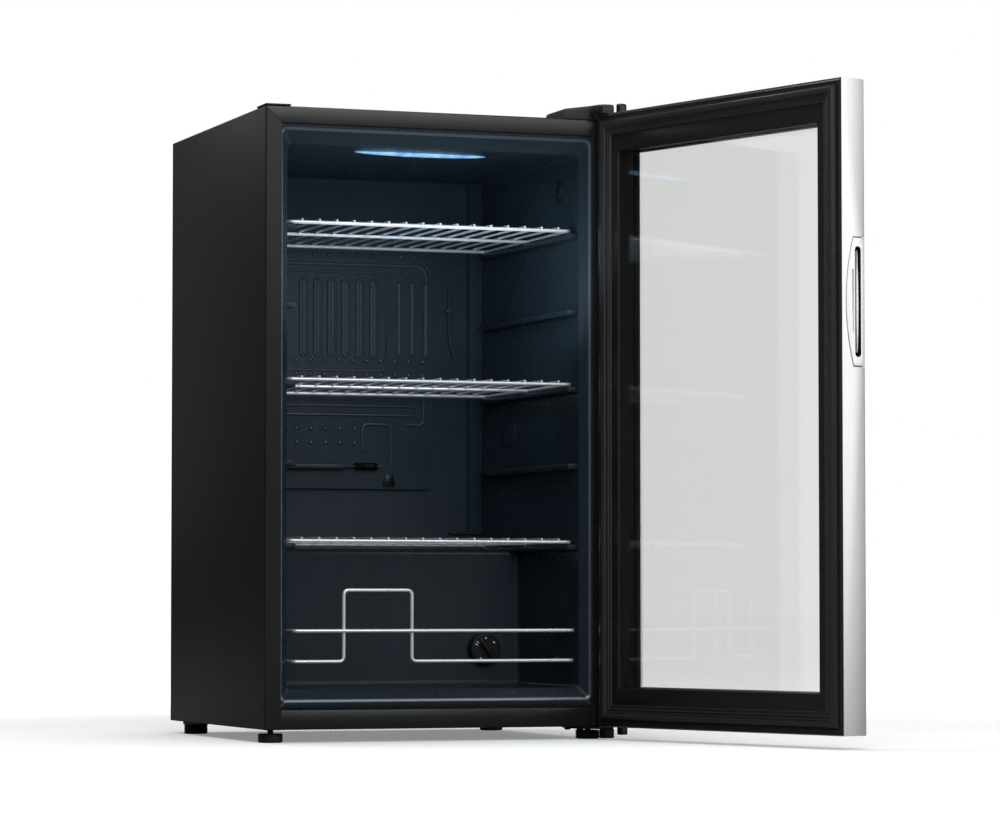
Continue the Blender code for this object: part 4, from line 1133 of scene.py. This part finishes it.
stud = [(0.0045, 0.0118), (0.0039, 0.0122), (0.0039, 0.0205), (0.0, 0.0205)]
front_foot = foot_profile(0.0118, stud)
rear_foot = foot_profile(0.0128, [(0.0, 0.0128)])
collar = [(0.0, 0.0129), (0.0166, 0.0129), (0.0178, 0.0136), (0.0180, 0.0160),
          (0.0174, 0.0167), (0.0, 0.0167)]
for side, x in (("left", -FOOT_X), ("right", FOOT_X)):
    front = (x, FOOT_FRONT_Y, 0)
    back = (x * 0.985, FOOT_BACK_Y, 0.0)
    make_piece(f"screw_foot_{side}", lathe(front_foot, front, 48), BLACK_RUBBER,
               f"foot_{side}", stands_for=[f"foot_front_{side}"])
    make_piece(f"rear_foot_{side}", lathe(rear_foot, back, 48), BLACK_RUBBER,
               stands_for=[f"foot_back_{side}"])
    make_piece(f"rear_collar_{side}", lathe(collar, back, 48), GREY_PLASTIC)

# %% [markdown]
# Behind the food space sits the compressor, a welded steel pot on rubber grommets, with its
# relay box, the tray that catches thaw water, the drier and the lead-in for the cord.

# %% Compressor bay
POT = Vector((0.055, 0.372, 0.0))


def pot():
    low = 0.0300
    high = 0.1780
    half = (high - low) / 2
    profile = [(0.0, low)]
    for i in range(1, 24):
        angle = math.pi * (i / 24 - 0.5)
        r = 0.0655 * math.cos(angle) ** 0.45
        z = low + half + half * math.sin(angle)
        if abs(z - 0.1180) < 0.0060:
            r = max(r, 0.0658)
        profile.append((r, z))
    profile.append((0.0, high))
    body = lathe(profile, POT, 64)
    lugs = block((POT.x - 0.0850, POT.y - 0.0530, 0.0290), (POT.x + 0.0850, POT.y + 0.0530, 0.0312))
    round_edges(lugs, upright_edges(lugs, 2), 0.012, 5)
    return merge(body, lugs)


def grommet(x, y):
    profile = [(0.0, 0.0191), (0.0080, 0.0191), (0.0085, 0.0198), (0.0083, 0.0212),
               (0.0066, 0.0222), (0.0066, 0.0244), (0.0080, 0.0256), (0.0080, 0.0282),
               (0.0074, 0.0287), (0.0, 0.0287)]
    return lathe(profile, (x, y, 0.0), 36)


make_piece("compressor_pot", pot(), ENAMEL, stands_for=["compressor"])
places = [(a, b) for a in (-0.0740, 0.0740) for b in (-0.0430, 0.0430)]
for i, (dx, dy) in enumerate(places):
    make_piece(f"grommet_{i + 1}", grommet(POT.x + dx, POT.y + dy), BLACK_RUBBER,
               stands_for=[f"compressor_grommet_{i + 1}"])
soften("drip_tray", BLACK_PLASTIC, 0.0008)
drier = [(0.0, 0.0600), (0.0022, 0.0600), (0.0025, 0.0640), (0.0084, 0.0715), (0.0090, 0.0740),
         (0.0090, 0.1000), (0.0086, 0.1010), (0.0086, 0.1025), (0.0090, 0.1035),
         (0.0090, 0.1560), (0.0084, 0.1590), (0.0025, 0.1690), (0.0022, 0.1720), (0.0, 0.1720)]
make_piece("drier", lathe(drier, (-0.1200, 0.4300, 0.0), 36), COPPER, stands_for=["filter_drier"])
gland = [(0.0, -0.0110), (0.0052, -0.0110), (0.0060, -0.0104), (0.0078, -0.0015),
         (0.0078, 0.0016), (0.0102, 0.0018), (0.0105, 0.0024), (0.0105, 0.0042),
         (0.0098, 0.0048), (0.0080, 0.0052), (0.0078, 0.0068), (0.0072, 0.0070),
         (0.0072, 0.0090), (0.0066, 0.0092), (0.0062, 0.0120), (0.0, 0.0120)]
make_piece("cord_gland", lathe(gland, (-0.1500, 0.4545, 0.0430), 36, "Y"), BLACK_RUBBER,
           stands_for=["power_inlet_gland"])

# %% [markdown]
# The condenser on the back is one long tube bent to and fro, stiffened by rows of thin wires
# welded across it. Two strips hold it off the back panel.

# %% Condenser
COIL_Y = 0.4688


def condenser_tube():
    low = 0.2800
    pitch = 0.0530
    reach = 0.1850
    path = [(-0.1200, 0.4300, 0.1760), (-0.1200, 0.4620, 0.1800), (-0.1350, COIL_Y, 0.2100),
            (-reach - pitch * 0.45, COIL_Y, low - 0.0180)]
    for i in range(10):
        z = low + i * pitch
        way = 1 if i % 2 == 0 else -1
        path += [(-way * reach, COIL_Y, z), (way * reach, COIL_Y, z)]
        if i < 9:
            for k in range(1, 10):
                angle = math.pi * k / 10 - math.pi / 2
                path.append((way * (reach + pitch / 2 * math.cos(angle)), COIL_Y,
                             z + pitch / 2 * (1 + math.sin(angle))))
    return wire(path, 0.0024, detail=3)


def condenser_wires():
    bm = bmesh.new()
    y = COIL_Y - 0.0031
    for i in range(47):
        x = (i - 23) * 0.0078
        merge(bm, wire([(x, y, 0.2680), (x, y, 0.7690)], 0.0008, detail=1))
    return bm


make_piece("condenser_tube", condenser_tube(), ENAMEL, stands_for=["condenser_coil"])
make_piece("condenser_wires", condenser_wires(), ENAMEL)
soften("condenser_bracket_left", ENAMEL, 0.0004)
soften("condenser_bracket_right", ENAMEL, 0.0004)
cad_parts["foam_insulation"].data.materials.clear()
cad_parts["foam_insulation"].data.materials.append(FOAM)

# %% [markdown]
# A pale floor, a pale surround and wide soft lamps. The surround shows white to the eye and
# through the glass, but lights the fridge more gently, so that black paint stays black. Three
# small lamps light the food space: the glow under the ceiling and two cool fills from in front.

# %% Floor, surround and lamps
FLOOR_GLOW = 0.25
THROUGH_GLASS = 0.97
SEEN_WHITE = 1.0
FELT_WHITE = 0.075
WHITE = (1.0, 1.0, 1.0)
ICE_BLUE = (0.50, 0.76, 1.0)
COOL_WHITE = (0.82, 0.91, 1.0)


def make_floor_finish():
    """Pale and softly shaded near the fridge, fading to white far away; darker in reflections."""
    finish, tree, link, shader = new_material("pale_floor")
    set_values(shader, Roughness=0.7, Specular_IOR_Level=0.1, Emission_Color=(1, 1, 1, 1))
    path = add_node(tree, "LightPath")
    tone = add_node(tree, "Mix", A=(0.12, 0.12, 0.12, 1.0), B=(0.80, 0.80, 0.80, 1.0))
    link(path.outputs["Is Camera Ray"], tone.inputs["Factor"])
    link(tone.outputs["Result"], shader.inputs["Base Color"])
    place = add_node(tree, "TexCoord")
    reach = add_node(tree, "VectorMath", "LENGTH")
    link(place.outputs["Object"], reach.inputs[0])
    fade = add_node(tree, "MapRange", From_Min=0.8, From_Max=2.6, To_Min=FLOOR_GLOW, To_Max=1.0)
    fade.interpolation_type = "SMOOTHSTEP"
    link(reach.outputs["Value"], fade.inputs["Value"])
    seen = add_node(tree, "Math", "MULTIPLY")
    link(fade.outputs["Result"], seen.inputs[0])
    link(path.outputs["Is Camera Ray"], seen.inputs[1])
    through = add_node(tree, "Math", "MULTIPLY_ADD")
    through.inputs[1].default_value = THROUGH_GLASS
    link(path.outputs["Is Transmission Ray"], through.inputs[0])
    link(seen.outputs["Value"], through.inputs[2])
    link(through.outputs["Value"], shader.inputs["Emission Strength"])
    return finish


def make_floor():
    bm = bmesh.new()
    bmesh.ops.create_grid(bm, x_segments=1, y_segments=1, size=40.0)
    mesh = to_mesh("floor", bm)
    mesh.materials.append(make_floor_finish())
    return add_object("floor", mesh)


def make_surround(seen, felt):
    """White to the eye and through glass, and dimmer as a light."""
    world = bpy.data.worlds.new("studio")
    world.use_nodes = True
    tree = world.node_tree
    link = tree.links.new
    back = tree.nodes["Background"]
    set_values(back, Color=(1, 1, 1, 1), Strength=felt)
    bright = add_node(tree, "Background", Color=(1, 1, 1, 1), Strength=seen)
    path = add_node(tree, "LightPath")
    either = add_node(tree, "Math", "MAXIMUM")
    mix = add_node(tree, "MixShader")
    link(path.outputs["Is Camera Ray"], either.inputs[0])
    link(path.outputs["Is Transmission Ray"], either.inputs[1])
    link(either.outputs["Value"], mix.inputs["Fac"])
    link(back.outputs["Background"], mix.inputs[1])
    link(bright.outputs["Background"], mix.inputs[2])
    link(mix.outputs["Shader"], tree.nodes["World Output"].inputs["Surface"])
    bpy.context.scene.world = world


def add_lamp(name, spot, target, width, height, watts, colour=WHITE, glossy=True):
    data = bpy.data.lights.new(name, "AREA")
    data.shape = "RECTANGLE"
    data.size = width
    data.size_y = height
    data.energy = watts
    data.color = colour
    lamp = add_object(name, data)
    lamp.location = spot
    lamp.rotation_euler = (Vector(target) - Vector(spot)).to_track_quat("-Z", "Y").to_euler()
    lamp.visible_camera = False
    lamp.visible_transmission = False
    lamp.visible_glossy = glossy


def add_inside_lamp(name, spot, target, width, height, watts, colour):
    """A lamp placed from the cabinet's front, which doesn't show in shiny parts."""
    add_lamp(name, CABINET @ Vector(spot), CABINET @ Vector(target), width, height, watts,
             colour, False)


make_floor()
make_surround(SEEN_WHITE, FELT_WHITE)
add_lamp("overhead", (-0.3, 0.6, 3.2), (0, 0, 0.0), 1.8, 1.8, 70)
add_lamp("front_panel", (1.0, -7.0, 3.0), (0, 0, 0.9), 5.0, 3.2, 46)
add_lamp("front_top", (0.0, -4.6, 4.2), (0, 0, 0.5), 5.0, 3.6, 118)
add_lamp("edge_light", (3.4, -2.7, 1.3), (0.3, -0.4, 0.5), 2.0, 2.6, 26)
add_lamp("side_light", (-2.2, 4.6, 2.2), (-0.3, 0.2, 0.8), 2.0, 0.8, 3)
add_lamp("back_light", (2.8, 3.4, 1.9), (0.1, 0.4, 0.4), 1.8, 1.2, 14)
add_inside_lamp("ceiling_glow", (0, 0.080, 0.7800), (0, 0.150, 0.0), 0.17, 0.012, 0.45, ICE_BLUE)
add_inside_lamp("cavity_fill", (0, -0.03, 0.58), (0, 0.34, 0.80), 0.34, 0.12, 0.85, COOL_WHITE)
add_inside_lamp("front_fill", (-0.25, -1.30, 0.60), (0.05, 0.20, 0.68), 0.8, 0.6, 9.0, COOL_WHITE)
print("lamps:", len(bpy.data.lights))

# %% [markdown]
# The camera stands low and a little to the left and looks slightly up, with a long lens.

# %% Camera
lens = bpy.data.cameras.new("camera")
lens.sensor_width = 36.0
lens.lens = 140.53
camera = add_object("camera", lens)
camera.location = CABINET @ Vector((-1.7011, -4.8738, 0.1825))
camera.rotation_euler = (math.radians(92.79), 0.0, math.radians(-20.137))
bpy.context.scene.camera = camera
bpy.context.scene.view_settings.view_transform = "Standard"
print("camera stands at", tuple(round(v, 4) for v in camera.location))
